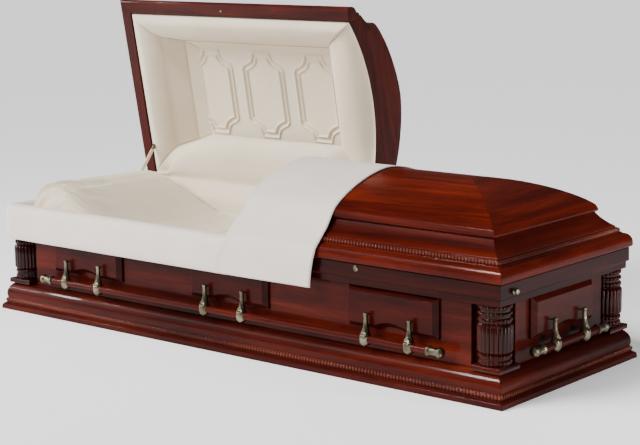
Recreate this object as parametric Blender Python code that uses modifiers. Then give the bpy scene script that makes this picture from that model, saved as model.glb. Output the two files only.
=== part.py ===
"""A hardwood casket with a split lid: head lid open, foot lid closed under a cloth throw.

Metres, +Z up. The origin is at the centre of the underside, X runs along the length with
the head at -X, and the hinges are at the back, on the +Y side. A moulding's profile is a
list of (inset, height) points: the inset is measured inwards from the plinth's outer edge.
"""
import math

import bmesh
import bpy
from mathutils import Matrix, Vector

# Overall plan
LENGTH = 2.130
WIDTH = 0.745
HALF_L = LENGTH / 2
HALF_W = WIDTH / 2
GAP = 0.0003
WELD = 0.00001

# Base moulding
PLINTH_H = 0.0146
PLINTH_LEAN = 0.0019
GROOVE = (0.0142, 0.0238)
BASE_BEAD_R = 0.0063
BASE_BEAD = (0.0172, 0.0305)
COVE = (0.0170, 0.0389)
OVOLO_INSET = 0.0145
OVOLO_Z = 0.0505
OVOLO_DEPTH = 0.0340
BASE_H = 0.0934
BASE_INNER = 0.1200
BOARD_T = 0.0180

# Walls and the columns in their corners
WALL_INSET = 0.0500
WALL_T = 0.0180
WALL_TOP = 0.2840
COLUMN_INSET = 0.0740
RECESS_HALF = 0.0645
BLOCK_HALF = 0.0505
BLOCK_H = 0.0160
SHAFT_R = 0.0513
RING_R = 0.0485
NECK_R = 0.0425
REED_DEPTH = 0.0032
REEDS = 15
RING_H = 0.0175
SHOULDER_H = 0.0075
LOWER_RINGS = 2
UPPER_RINGS = 3

# Raised panels
PANEL_HALF = 0.1650
PANEL_END_INSET = 0.4120
PANEL_X = HALF_L - PANEL_END_INSET
END_PANEL_HALF = 0.1630
PANEL_FOOT = 0.0645
PANEL_HEAD = 0.0040
PANEL_EDGE_T = 0.0060
PANEL_T = 0.0200
PANEL_BEVEL = 0.0140
NOTCH_HALF = 0.0560
NOTCH_RISE = 0.0130

# Top rail
RAIL_STEP_INSET = 0.0290
RAIL_STEP_H = 0.0174
RAIL_INSET = 0.0225
RAIL_TOP = 0.3482
RAIL_INNER = 0.0750
RAIL_COVE_H = 0.0051

# Lids
LID_GAP = 0.0023
LID_Z = RAIL_TOP + LID_GAP
LID_INSET = 0.0145
LID_UNDERCUT = 0.0055
BULLNOSE_Z = 0.3640
BULLNOSE_TOP = 0.3938
BULLNOSE_DEPTH = 0.0247
LID_BEAD_R = 0.0060
LID_BEAD = (0.0495, 0.4030)
CAVETTO_FOOT = (0.0540, 0.4155)
CAVETTO_HEAD = (0.0994, 0.4600)
CAVETTO_SAG = 0.0032
LID_FRAME_T = 0.0130
LID_INNER = 0.0620
CROWN_INSET = 0.0915
CROWN_Z = 0.4755
CROWN_TOP = 0.5800
CROWN_T = 0.0120
CROWN_NOSE_H = 0.0140
CROWN_POWER = 1.65
CROWN_ROUND = 0.775
SPLIT_X = 0.0412
SPLIT_HALF = 0.0052
HEADER_T = 0.0180
HEADER_RISE = 0.0800
HINGE_INSET = 0.0145
OPEN_DEG = 80.0
CLOTH_CLEAR = 0.0030

# Soft parts
LINING_T = 0.0150
LINING_CLEAR = 0.0035
LINING_TOP = 0.3000
MATTRESS_CLEAR = 0.0015
LINING_R = 0.2500
MATTRESS_TOP = 0.2450
LID_LINING_DEPTH = 0.1050
LID_LINING_T = 0.0160
ROLL_W = 0.0500
LID_PANEL_X = 0.1800
LID_PANEL_Y = 0.1150
APRON_T = 0.0100
APRON_CLEAR = 0.0010
APRON_HEM = 0.2535
APRON_TOP = 0.3720
APRON_INNER_DROP = 0.0450
APRON_BACK_INSET = 0.2025
APRON_END_Y = HALF_W - APRON_BACK_INSET
APRON_END_X = 0.0200
THROW_T = 0.0050
THROW_CLEAR = 0.0020
THROW_FOOT_X = 0.3900
THROW_HEM = 0.2600
THROW_TURN_IN = 0.0450
THROW_COVE_R = 0.0125
PILLOW_END_INSET = 0.0950
PILLOW_SIDE_INSET = 0.1025
PILLOW_LENGTH = 0.4700
PILLOW_H = 0.2120
PILLOW_CLEAR = 0.0010
PILLOW_POINTS = 20
# Each slice: share of the height, shares of the length for its head and foot edges, and
# share of the half-width
PILLOW_SLICES = (
    (0.000, 0.170, 0.915, 0.72),
    (0.137, 0.085, 1.000, 0.86),
    (0.383, 0.047, 1.000, 0.93),
    (0.540, 0.017, 0.915, 1.00),
    (0.706, 0.000, 0.745, 1.00),
    (0.872, 0.013, 0.532, 0.98),
    (0.967, 0.064, 0.362, 0.93),
    (1.000, 0.128, 0.277, 0.85),
)

# Carrying handles
BAR_INSET = 0.0125
BAR_Z = 0.1300
BAR_R = 0.0120
BAR_SIDES = 10
TIP_LENGTH = 0.0560
TIP_R = 0.0148
TIP_COLLAR = 0.0100
TIP_WAIST_R = 0.0130
TIP_END_R = 0.0118
ARM_SPREAD = 0.0800
FRONT_OVERHANG = 0.1240
END_OVERHANG = 0.1220
FRONT_BAR_HALF = PANEL_X + ARM_SPREAD + FRONT_OVERHANG
END_BAR_HALF = ARM_SPREAD + END_OVERHANG
ARM_INSET = 0.0145
ARM_TOP = 0.2085
ARM_HALF = 0.0065
ARM_T = 0.0120
NECK_Z = 0.1845
LEAF_TOP_Z = 0.1710
LEAF_HALF = 0.0130
LEAF_Z = 0.1520
LEAF_SWELL = 0.0020
CUFF_HALF = 0.0115
CUFF_R = 0.0165
CUFF_POINT = 0.1075
ARM_CHAMFER = 0.45
PIVOT_DROP = 0.0060

# Lid stay
STAY_LENGTH = 0.2060
STAY_DEG = 51.5
STAY_INSET = 0.1755
STAY_Y = HALF_W - STAY_INSET
STAY_DROP = 0.0032
STAY_T = 0.0060
STAY_HALF = 0.0045
STAY_CLEAR = 0.0030

for old in list(bpy.data.objects):
    bpy.data.objects.remove(old, do_unlink=True)

casket = bpy.data.collections.new("casket")
cutters = bpy.data.collections.new("cutters")
bpy.context.scene.collection.children.link(casket)
bpy.context.scene.collection.children.link(cutters)


def finish(name, color, roughness, metallic=0.0):
    material = bpy.data.materials.new(name)
    material.use_nodes = True
    shader = material.node_tree.nodes["Principled BSDF"]
    shader.inputs["Base Color"].default_value = (*color, 1.0)
    shader.inputs["Roughness"].default_value = roughness
    shader.inputs["Metallic"].default_value = metallic
    return material


CHERRY = ((0.13, 0.025, 0.010), 0.15)
BARE_WOOD = ((0.20, 0.10, 0.05), 0.60)
VELVET = ((0.72, 0.67, 0.60), 0.90)
PEWTER = ((0.45, 0.41, 0.30), 0.30, 1.0)


def place(piece, look, smooth_deg=32.0):
    """File a new piece in the casket's collection with its own material."""
    for owner in list(piece.users_collection):
        owner.objects.unlink(piece)
    casket.objects.link(piece)
    piece.data.materials.clear()
    piece.data.materials.append(finish(piece.name, *look))
    if piece.type == "MESH" and smooth_deg:
        piece.data.shade_smooth()
        piece.data.set_sharp_from_angle(angle=math.radians(smooth_deg))
    return piece


def mesh_piece(name, bm, look, smooth_deg=32.0):
    mesh = bpy.data.meshes.new(name)
    bm.to_mesh(mesh)
    bm.free()
    return place(bpy.data.objects.new(name, mesh), look, smooth_deg)


def arc(centre, radii, start_deg, end_deg, steps):
    """Points on an ellipse from one angle to another, both ends included."""
    points = []
    for i in range(steps + 1):
        angle = math.radians(start_deg + (end_deg - start_deg) * i / steps)
        points.append((centre[0] + radii[0] * math.cos(angle),
                       centre[1] + radii[1] * math.sin(angle)))
    return points


def bowed(first, last, sag, steps):
    """A shallow curve between two points, bowed to the left of its direction by sag."""
    ax, az = first
    bx, bz = last
    length = math.hypot(bx - ax, bz - az)
    side = (-(bz - az) / length, (bx - ax) / length)
    points = []
    for i in range(steps + 1):
        t = i / steps
        push = sag * 4 * t * (1 - t)
        points.append((ax + (bx - ax) * t + side[0] * push, az + (bz - az) * t + side[1] * push))
    return points


def loft(name, sections, look, ring=False, open_span=None, smooth_deg=32.0):
    """Skin equal closed sections in a row; a ring joins the last to the first.

    open_span is the one span of each section that stays open, where two halves meet.
    """
    bm = bmesh.new()
    rows = [[bm.verts.new(point) for point in section] for section in sections]
    count = len(sections[0])
    pairs = list(zip(rows, rows[1:]))
    if ring:
        pairs.append((rows[-1], rows[0]))
    for row, following in pairs:
        for i in range(count):
            if i != open_span:
                j = (i + 1) % count
                bm.faces.new((row[i], row[j], following[j], following[i]))
    if not ring:
        bm.faces.new(rows[0])
        bm.faces.new(rows[-1])
    bmesh.ops.remove_doubles(bm, verts=bm.verts, dist=WELD)
    bmesh.ops.recalc_face_normals(bm, faces=bm.faces)
    return mesh_piece(name, bm, look, smooth_deg)


def ring_sections(profile):
    """A profile mitred round the whole plan."""
    corners = ((-1, -1), (1, -1), (1, 1), (-1, 1))
    return [[(sx * (HALF_L - d), sy * (HALF_W - d), z) for d, z in profile] for sx, sy in corners]


def lid_sections(profile, end, split_x):
    """A profile run along the front, round one end and back along the hinge side."""
    stations = ((None, -1), (end, -1), (end, 1), (None, 1))
    sections = []
    for sx, sy in stations:
        sections.append([(split_x if sx is None else sx * (HALF_L - d), sy * (HALF_W - d), z)
                         for d, z in profile])
    return sections


def board(name, outline, low, high, look, normal="Z", holes=()):
    """A flat outline, extruded along one axis between two levels."""
    curve = bpy.data.curves.new(name, "CURVE")
    curve.dimensions = "2D"
    curve.fill_mode = "BOTH"
    curve.extrude = (high - low) / 2
    for points in (outline, *holes):
        spline = curve.splines.new("POLY")
        spline.points.add(len(points) - 1)
        for target, (u, v) in zip(spline.points, points):
            target.co = (u, v, 0.0, 1.0)
        spline.use_cyclic_u = True
    piece = bpy.data.objects.new(name, curve)
    middle = (low + high) / 2
    if normal == "Z":
        piece.location = (0.0, 0.0, middle)
    else:
        piece.location = (middle, 0.0, 0.0)
        piece.rotation_euler = (math.radians(90), 0.0, math.radians(90))
    return place(piece, look)


def rounded_plan(inset, radius, steps=8):
    """The plan rectangle at an inset, with its corners rounded."""
    points = []
    for sx, sy, start in ((1, 1, 0), (-1, 1, 90), (-1, -1, 180), (1, -1, 270)):
        centre = (sx * (HALF_L - inset - radius), sy * (HALF_W - inset - radius))
        points += arc(centre, (radius, radius), start, start + 90, steps)
    return points


def parent_to(pivot, pieces):
    for piece in pieces:
        piece.parent = pivot
        piece.location = piece.location - pivot.location


def pivot_at(name, place_at):
    pivot = bpy.data.objects.new(name, None)
    pivot.location = place_at
    casket.objects.link(pivot)
    return pivot


def base_profile():
    """The plinth, rope bead, cove and ovolo, from the floor up, and down the inner side."""
    points = [(0.0, 0.0), (PLINTH_LEAN, PLINTH_H), GROOVE]
    points += arc(BASE_BEAD, (BASE_BEAD_R, BASE_BEAD_R), 240, 120, 6)
    points.append(COVE)
    points.append((OVOLO_INSET, OVOLO_Z))
    points += arc((OVOLO_INSET + OVOLO_DEPTH, OVOLO_Z), (OVOLO_DEPTH, BASE_H - OVOLO_Z),
                  180, 90, 8)[1:]
    points += [(BASE_INNER, BASE_H), (BASE_INNER, 0.0)]
    return points


def rail_profile():
    step_top = WALL_TOP + RAIL_STEP_H
    cove_top = step_top + RAIL_COVE_H
    points = [(RAIL_STEP_INSET, WALL_TOP), (RAIL_STEP_INSET, step_top)]
    cove = arc((RAIL_INSET, step_top), (RAIL_STEP_INSET - RAIL_INSET, RAIL_COVE_H), 0, 90, 4)
    points += cove[1:-1]
    points += [(RAIL_INSET, cove_top), (RAIL_INSET, RAIL_TOP), (RAIL_INNER, RAIL_TOP),
               (RAIL_INNER, WALL_TOP)]
    return points


def lid_profile():
    """The bullnose, rope bead and cavetto of a lid's frame, with its inner side."""
    points = [(LID_INSET + LID_UNDERCUT, LID_Z)]
    points += arc((LID_INSET + LID_UNDERCUT, LID_Z + LID_UNDERCUT), (LID_UNDERCUT, LID_UNDERCUT),
                  270, 180, 4)[1:]
    nose = arc((LID_INSET + BULLNOSE_DEPTH, BULLNOSE_Z),
               (BULLNOSE_DEPTH, BULLNOSE_TOP - BULLNOSE_Z), 180, 90, 8)
    points += nose
    points.append((nose[-1][0], LID_BEAD[1] - LID_BEAD_R))
    points += arc(LID_BEAD, (LID_BEAD_R, LID_BEAD_R), 240, 120, 6)
    points.append((CAVETTO_FOOT[0], LID_BEAD[1] + LID_BEAD_R))
    cavetto = bowed(CAVETTO_FOOT, CAVETTO_HEAD, -CAVETTO_SAG, 8)
    points += cavetto
    top_z = CROWN_Z - CROWN_NOSE_H - GAP
    points.append((CAVETTO_HEAD[0], top_z))
    points += frame_back()
    return points


def frame_back():
    """The inner side of a lid's frame, from the top down; the lining and header fit it."""
    top_z = CROWN_Z - CROWN_NOSE_H - GAP
    inner = CAVETTO_HEAD[0] + LID_FRAME_T
    return [(inner, top_z), (inner, CAVETTO_FOOT[1] + 2 * LID_FRAME_T),
            (LID_INNER, CAVETTO_FOOT[1] - LID_FRAME_T / 2), (LID_INNER, LID_Z)]


def crown_height(t):
    """Height of the crown's top at a distance t in from its edge: a flattened arch."""
    span = HALF_W - CROWN_INSET
    share = min(max(t / span, 0.0), 1.0)
    return CROWN_Z + (CROWN_TOP - CROWN_Z) * (1 - (1 - share) ** CROWN_POWER) ** CROWN_ROUND


def crown_outline(steps=16):
    """The crown's outer points (inset, height) from the underside of its nose to the ridge."""
    span = HALF_W - CROWN_INSET
    nose = arc((CROWN_INSET + CROWN_NOSE_H / 2, CROWN_Z - CROWN_NOSE_H / 2),
               (CROWN_NOSE_H / 2, CROWN_NOSE_H / 2), 270, 150, 4)
    rise = []
    for i in range(1, steps + 1):
        t = span * (i / steps) ** 1.35
        rise.append((CROWN_INSET + t, crown_height(t)))
    return nose + rise


def crown_inside(steps=10):
    """The crown's underside, one thickness below its top, from the ridge to the frame."""
    span = HALF_W - CROWN_INSET
    first = CROWN_NOSE_H + CROWN_T
    points = []
    for i in range(steps + 1):
        t = span - (span - first) * i / steps
        points.append((CROWN_INSET + t, crown_height(t) - CROWN_T))
    points.append((CROWN_INSET + first, CROWN_Z - CROWN_NOSE_H))
    return points


def make_base():
    board_edge = BASE_INNER + GAP
    outline = [(sx * (HALF_L - board_edge), sy * (HALF_W - board_edge))
               for sx, sy in ((-1, -1), (1, -1), (1, 1), (-1, 1))]
    board("bottom_board", outline, 0.0, BOARD_T, BARE_WOOD)
    loft("base_moulding", ring_sections(base_profile()), CHERRY, ring=True)


def wall_outline(half_run, half_across):
    """Half-sizes along and across a wall give its plan: a board with a return at each end."""
    outer = half_across - WALL_INSET
    corner = half_across - COLUMN_INSET
    run_face = half_run - COLUMN_INSET - RECESS_HALF - GAP
    run_corner = half_run - COLUMN_INSET - GAP
    half = [(run_face, outer), (run_face, corner), (run_corner, corner),
            (run_corner - WALL_T, corner - WALL_T), (run_face - WALL_T, corner - WALL_T),
            (run_face - WALL_T, outer - WALL_T)]
    return half + [(-u, v) for u, v in reversed(half)]


def make_walls():
    low = BASE_H + GAP
    high = WALL_TOP - GAP
    long_side = wall_outline(HALF_L, HALF_W)
    short_side = wall_outline(HALF_W, HALF_L)
    board("back_wall", long_side, low, high, CHERRY)
    board("front_wall", [(u, -v) for u, v in long_side], low, high, CHERRY)
    board("foot_wall", [(v, u) for u, v in short_side], low, high, CHERRY)
    board("head_wall", [(-v, u) for u, v in short_side], low, high, CHERRY)


def column_levels():
    """The column's levels from the foot up: (height, kind of section, size)."""
    foot = BASE_H + GAP
    top = WALL_TOP - GAP
    block_top = foot + BLOCK_H
    levels = [(foot, "block", BLOCK_HALF), (block_top, "block", BLOCK_HALF),
              (block_top + GAP, "round", NECK_R)]
    for number in range(LOWER_RINGS):
        low = block_top + number * RING_H
        levels += [(low + RING_H / 2, "round", RING_R), (low + RING_H, "round", NECK_R)]
    shaft_low = block_top + LOWER_RINGS * RING_H
    shaft_high = top - UPPER_RINGS * RING_H
    levels += [(shaft_low + SHOULDER_H, "round", SHAFT_R), (shaft_high - SHOULDER_H, "round", SHAFT_R)]
    for number in range(UPPER_RINGS):
        low = shaft_high + number * RING_H
        levels += [(low, "round", NECK_R), (low + RING_H / 2, "round", RING_R)]
    levels.append((top, "round", NECK_R))
    return levels


def column_section(level, centre, turn_deg):
    """A three-quarter round section: its open quarter fits over the casket's corner."""
    height, kind, size = level
    spans = 2 * REEDS
    turn = Matrix.Rotation(math.radians(turn_deg), 2)
    local_points = [Vector((GAP, -GAP))]
    for i in range(spans + 1):
        angle = math.radians(180 + 270 * i / spans)
        cos_a = math.cos(angle)
        sin_a = math.sin(angle)
        if kind == "block":
            radius = size / max(abs(cos_a), abs(sin_a))
        else:
            radius = size - (REED_DEPTH if i % 2 == 0 else 0.0)
        local = Vector((radius * cos_a, radius * sin_a))
        if i == 0:
            local.y = -GAP
        if i == spans:
            local.x = GAP
        local_points.append(local)
    return [(*(Vector(centre) + turn @ local), height) for local in local_points]


def make_columns():
    spots = (("column_foot_front", 1, -1, 0), ("column_foot_back", 1, 1, 90),
             ("column_head_back", -1, 1, 180), ("column_head_front", -1, -1, 270))
    for name, sx, sy, turn in spots:
        centre = (sx * (HALF_L - COLUMN_INSET), sy * (HALF_W - COLUMN_INSET))
        sections = [column_section(level, centre, turn) for level in column_levels()]
        loft(name, sections, CHERRY, smooth_deg=50.0)


def panel_outline(half):
    """A rectangle with a shallow arched finger notch in the middle of its lower edge."""
    low = BASE_H + PANEL_FOOT
    high = WALL_TOP - PANEL_HEAD
    radius = (NOTCH_HALF ** 2 + NOTCH_RISE ** 2) / (2 * NOTCH_RISE)
    reach = math.degrees(math.asin(NOTCH_HALF / radius))
    notch = arc((0.0, low + NOTCH_RISE - radius), (radius, radius), 90 + reach, 90 - reach, 8)
    return [(-half, high), (-half, low)] + notch + [(half, low), (half, high)]


def raised_panel(name, half, centre, heading_deg):
    """A raised field with a bevelled edge, flat against the wall behind it."""
    bm = bmesh.new()
    ring = [bm.verts.new((u, 0.0, z)) for u, z in panel_outline(half)]
    back = bm.faces.new(ring)
    grown = bmesh.ops.extrude_face_region(bm, geom=[back])
    moved = [item for item in grown["geom"] if isinstance(item, bmesh.types.BMVert)]
    front = [item for item in grown["geom"] if isinstance(item, bmesh.types.BMFace)]
    bmesh.ops.translate(bm, verts=moved, vec=(0.0, -PANEL_EDGE_T, 0.0))
    bmesh.ops.inset_region(bm, faces=front, thickness=PANEL_BEVEL, use_even_offset=True)
    lifted = {vert for face in front for vert in face.verts}
    bmesh.ops.translate(bm, verts=list(lifted), vec=(0.0, PANEL_EDGE_T - PANEL_T, 0.0))
    bmesh.ops.recalc_face_normals(bm, faces=bm.faces)
    piece = mesh_piece(name, bm, CHERRY, smooth_deg=20.0)
    piece.location = centre
    piece.rotation_euler = (0.0, 0.0, math.radians(heading_deg))
    return piece


def make_panels():
    side = HALF_W - WALL_INSET + GAP
    end = HALF_L - WALL_INSET + GAP
    for spot, x in (("head", -PANEL_X), ("middle", 0.0), ("foot", PANEL_X)):
        raised_panel("front_panel_" + spot, PANEL_HALF, (x, -side, 0.0), 0)
        raised_panel("back_panel_" + spot, PANEL_HALF, (x, side, 0.0), 180)
    raised_panel("foot_panel", END_PANEL_HALF, (end, 0.0, 0.0), 90)
    raised_panel("head_panel", END_PANEL_HALF, (-end, 0.0, 0.0), -90)


def make_rail():
    loft("top_rail", ring_sections(rail_profile()), CHERRY, ring=True)


def header_outline():
    """A board that closes a lid's end, arched below to clear the inside."""
    side = [(d + GAP, z) for d, z in reversed(frame_back())]
    under = [(min(d + GAP, HALF_W), z - GAP) for d, z in reversed(crown_inside())]
    half = [(d - HALF_W, z) for d, z in side + under]
    foot_half = HALF_W - LID_INNER - GAP
    radius = (foot_half ** 2 + HEADER_RISE ** 2) / (2 * HEADER_RISE)
    reach = math.degrees(math.asin(foot_half / radius))
    arch = arc((0.0, LID_Z + HEADER_RISE - radius), (radius, radius), 90 - reach, 90 + reach, 16)
    mirrored = [(-y, z) for y, z in reversed(half[:-1])]
    return half + mirrored + arch[1:-1]


def lid_lining_sections(end, header_x):
    """Rectangular loops: the recessed panel's face, the side, the rim roll, and the back."""
    outer = LID_INNER + LINING_CLEAR
    shoulder = max(CAVETTO_HEAD[0] + LID_FRAME_T, crown_inside()[-1][0]) + LINING_CLEAR
    face_z = LID_Z + LID_LINING_DEPTH
    back_z = face_z + LID_LINING_T
    low_z = LID_Z + LINING_CLEAR / 2
    roll = arc((outer + ROLL_W / 2, low_z + ROLL_W / 2), (ROLL_W / 2, ROLL_W / 2), 0, -180, 8)
    loops = [(outer + LID_PANEL_X, outer + LID_PANEL_Y, face_z)]
    loops += [(d, d, z) for d, z in roll]
    low_step, high_step = sorted(z for _, z in frame_back()[1:3])
    loops += [(outer, outer, low_step - 2 * LINING_CLEAR),
              (shoulder, shoulder, high_step - 2 * LINING_CLEAR),
              (shoulder, shoulder, back_z)]
    sections = []
    for dx, dy, z in loops:
        near = header_x + end * (dx - outer)
        far = end * (HALF_L - dx)
        y = HALF_W - dy
        sections.append([(near, -y, z), (far, -y, z), (far, y, z), (near, y, z)])
    return sections


def make_lid(name, end, split_x):
    """One lid in its closed place: frame, crown and header board."""
    frame = loft(name + "_moulding", lid_sections(lid_profile(), end, split_x), CHERRY)
    outline = crown_outline()
    shell = outline + crown_inside()
    crown = loft(name + "_crown", lid_sections(shell, end, split_x), CHERRY, open_span=len(outline) - 1)
    low, high = sorted((split_x, split_x + end * HEADER_T))
    header = board(name + "_header", header_outline(), low, high, CHERRY, normal="X")
    return [frame, crown, header]


def throw_path():
    """The cloth's own line over the foot lid, front hem to back edge, with its normals."""
    flap_y = HALF_W - LID_INSET + THROW_CLEAR
    front = [(-flap_y, THROW_HEM), (-flap_y, BULLNOSE_Z)]
    nose = arc((-(HALF_W - LID_INSET - BULLNOSE_DEPTH), BULLNOSE_Z),
               (BULLNOSE_DEPTH + THROW_CLEAR, BULLNOSE_TOP - BULLNOSE_Z + THROW_CLEAR), 180, 100, 4)
    climb = [(-(HALF_W - LID_BEAD[0] + LID_BEAD_R), LID_BEAD[1] + LID_BEAD_R + THROW_CLEAR),
             (-(HALF_W - CAVETTO_FOOT[0] - THROW_COVE_R), CAVETTO_FOOT[1] + THROW_COVE_R),
             (-(HALF_W - CROWN_INSET + THROW_CLEAR), CROWN_Z - CROWN_NOSE_H / 2)]
    over = []
    span = HALF_W - CROWN_INSET
    steps = 8
    for i in range(steps + 1):
        t = span * (i / steps) ** 1.3
        over.append((-(span - t), crown_height(t) + THROW_CLEAR + THROW_T / 4))
    half = nose[1:] + climb + over
    back = [(-y, z) for y, z in reversed(half[:-1])]
    return front + half + back


def path_normals(path):
    """Unit normals on the cloth's outer side, one for each point."""
    normals = []
    for i in range(len(path)):
        before = Vector(path[max(i - 1, 0)])
        after = Vector(path[min(i + 1, len(path) - 1)])
        run = (after - before).normalized()
        normals.append(Vector((-run.y, run.x)))
    return normals


def make_throw():
    """A sheet over the foot lid whose head edge turns in over the header board."""
    edge = SPLIT_X - SPLIT_HALF + CLOTH_CLEAR
    inner_edge = SPLIT_X + SPLIT_HALF - THROW_CLEAR
    path = throw_path()
    normals = path_normals(path)
    sections = []
    for (y, z), normal in zip(path, normals):
        turn_in = -THROW_TURN_IN if z > CROWN_Z + THROW_CLEAR else 0.0
        rows = ((THROW_FOOT_X, THROW_T), (edge, THROW_T), (edge, turn_in - THROW_CLEAR / 4),
                (inner_edge, turn_in - THROW_CLEAR / 4), (inner_edge, 0.0), (THROW_FOOT_X, 0.0))
        sections.append([(x, y + normal.x * off, z + normal.y * off) for x, off in rows])
    return loft("throw", sections, VELVET)


def make_apron():
    """The padded apron over the rim, along the front and round the head end."""
    outer = RAIL_INSET - APRON_CLEAR - APRON_T
    inner = RAIL_INSET - APRON_CLEAR
    over = RAIL_TOP + APRON_CLEAR
    inside = RAIL_INNER + APRON_CLEAR
    roll_r = APRON_TOP - over
    profile = [(outer, APRON_HEM), (outer, over)]
    profile += arc((outer + roll_r, over), (roll_r, roll_r), 180, 90, 5)[1:]
    profile += arc((inside, over), (APRON_T, roll_r), 90, 0, 5)
    profile += [(inside + APRON_T, over - APRON_INNER_DROP), (inside, over - APRON_INNER_DROP),
                (inside, over), (inner, over), (inner, APRON_HEM)]
    sections = [[(APRON_END_X, -(HALF_W - d), z) for d, z in profile],
                [(-(HALF_L - d), -(HALF_W - d), z) for d, z in profile],
                [(-(HALF_L - d), APRON_END_Y, z) for d, z in profile]]
    return loft("extendover", sections, VELVET)


def make_pillow():
    """A wedge pillow: rounded plan slices, highest at the head."""
    sections = []
    head_x = PILLOW_END_INSET - HALF_L
    for rise, head, foot, share in PILLOW_SLICES:
        centre_x = head_x + PILLOW_LENGTH * (head + foot) / 2
        half_x = PILLOW_LENGTH * (foot - head) / 2
        half_y = (HALF_W - PILLOW_SIDE_INSET) * share
        height = MATTRESS_TOP + PILLOW_CLEAR + (PILLOW_H - PILLOW_CLEAR) * rise
        ring = []
        for i in range(PILLOW_POINTS):
            angle = 2 * math.pi * i / PILLOW_POINTS
            cos_a = math.cos(angle)
            sin_a = math.sin(angle)
            square = (abs(cos_a) ** 3 + abs(sin_a) ** 3) ** (-1 / 3)
            ring.append((centre_x + half_x * square * cos_a, half_y * square * sin_a, height))
        sections.append(ring)
    return loft("pillow", sections, VELVET)


def make_soft_parts():
    outer = RAIL_INNER + LINING_CLEAR
    liner_hole = rounded_plan(outer + LINING_T, LINING_R - LINING_T)
    board("body_lining", rounded_plan(outer, LINING_R), BASE_H + GAP, LINING_TOP, VELVET,
          holes=(liner_hole,))
    mattress_inset = outer + LINING_T + MATTRESS_CLEAR
    mattress_r = LINING_R - (mattress_inset - outer)
    board("mattress", rounded_plan(mattress_inset, mattress_r), BASE_H + GAP, MATTRESS_TOP, VELVET)
    make_pillow()
    make_apron()


def turned(name, profile, steps, look):
    """A profile of (radius, height) from top to bottom, turned about the local Z axis."""
    mesh = bpy.data.meshes.new(name)
    verts = [(r, 0.0, z) for r, z in profile]
    mesh.from_pydata(verts, [(i, i + 1) for i in range(len(verts) - 1)], [])
    piece = bpy.data.objects.new(name, mesh)
    screw = piece.modifiers.new("Turn", "SCREW")
    screw.axis = "Z"
    screw.steps = steps
    screw.render_steps = steps
    screw.use_merge_vertices = True
    screw.merge_threshold = WELD
    screw.use_smooth_shade = True
    return place(piece, look, smooth_deg=None)


def tip_profile():
    """A cast ferrule: a collar at the bar, a waisted barrel and a rounded end."""
    return [(0.0, TIP_LENGTH), (TIP_END_R, TIP_LENGTH - TIP_COLLAR * 0.15),
            (TIP_R, TIP_LENGTH - TIP_COLLAR * 0.5), (TIP_WAIST_R, TIP_LENGTH - TIP_COLLAR * 1.5),
            (TIP_WAIST_R, TIP_COLLAR * 1.3), (TIP_R, TIP_COLLAR), (TIP_R, GAP), (0.0, GAP)]


def arm_sections(u):
    """Sections of a handle arm from its top down: (half-width, front, back, height)."""
    half_t = ARM_T / 2
    bar_y = BAR_INSET - ARM_INSET
    waist_half = ARM_HALF * 1.15
    rows = [(ARM_HALF, -half_t, half_t, ARM_TOP), (ARM_HALF, -half_t, half_t, NECK_Z),
            (waist_half, -half_t - LEAF_SWELL / 2, half_t, LEAF_TOP_Z),
            (LEAF_HALF, bar_y - half_t - LEAF_SWELL, half_t, LEAF_Z)]
    for angle, half in ((45, CUFF_HALF), (0, CUFF_HALF), (-20, CUFF_HALF), (-50, CUFF_HALF * 0.8)):
        reach = CUFF_R * math.cos(math.radians(angle))
        rows.append((half, bar_y - reach, bar_y + reach, BAR_Z + CUFF_R * math.sin(math.radians(angle))))
    rows.append((CUFF_HALF * 0.3, bar_y - CUFF_R * 0.35, bar_y + CUFF_R * 0.35, CUFF_POINT))
    sections = []
    for half, ahead, behind, z in rows:
        chamfer = half * ARM_CHAMFER
        sections.append([(u - half, ahead + chamfer, z), (u - half + chamfer, ahead, z),
                         (u + half - chamfer, ahead, z), (u + half, ahead + chamfer, z),
                         (u + half, behind, z), (u - half, behind, z)])
    return sections


def bar_cutter(name, half, radius):
    """The bar's own space, which its arms' cuffs are bored for."""
    bpy.ops.mesh.primitive_cylinder_add(vertices=BAR_SIDES, radius=radius, depth=2 * half,
                                        rotation=(0.0, math.radians(90), 0.0))
    cutter = bpy.context.active_object
    bpy.ops.object.transform_apply(location=False, rotation=True, scale=True)
    cutter.name = name
    for owner in list(cutter.users_collection):
        owner.objects.unlink(cutter)
    cutters.objects.link(cutter)
    cutter.hide_render = True
    cutter.display_type = "WIRE"
    return cutter


def make_handle(side, half, arm_places, heading_deg, reach):
    """A bar with two tips, hung on swinging arms; local -Y points away from the casket."""
    bar_at = (0.0, BAR_INSET - ARM_INSET, BAR_Z)
    bar_half = half - TIP_LENGTH
    outline = arc((0.0, 0.0), (BAR_R, BAR_R), 0, 360 - 360 / BAR_SIDES, BAR_SIDES - 1)
    bar = board(side + "_bar", outline, -bar_half, bar_half, CHERRY, normal="X")
    bar.location = bar_at
    cutter = bar_cutter(side + "_bar_space", half, BAR_R + GAP)
    cutter.location = bar_at
    pieces = [bar, cutter]
    for label, sign in (("left", -1), ("right", 1)):
        tip = turned(side + "_bar_tip_" + label, tip_profile(), BAR_SIDES, PEWTER)
        tip.location = (sign * bar_half, bar_at[1], bar_at[2])
        tip.rotation_euler = (0.0, sign * math.radians(90), 0.0)
        pieces.append(tip)
    for number, u in enumerate(arm_places, start=1):
        arm = loft(f"{side}_arm_{number}", arm_sections(u), PEWTER)
        bore = arm.modifiers.new("Bar hole", "BOOLEAN")
        bore.operation = "DIFFERENCE"
        bore.object = cutter
        pieces.append(arm)
    pivot_z = ARM_TOP - PIVOT_DROP
    pivot = pivot_at(side + "_handle_pivot", (0.0, 0.0, pivot_z))
    parent_to(pivot, pieces)
    heading = math.radians(heading_deg)
    pivot.rotation_euler = (0.0, 0.0, heading)
    pivot.location = Matrix.Rotation(heading, 3, "Z") @ Vector((0.0, ARM_INSET - reach, pivot_z))


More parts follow.
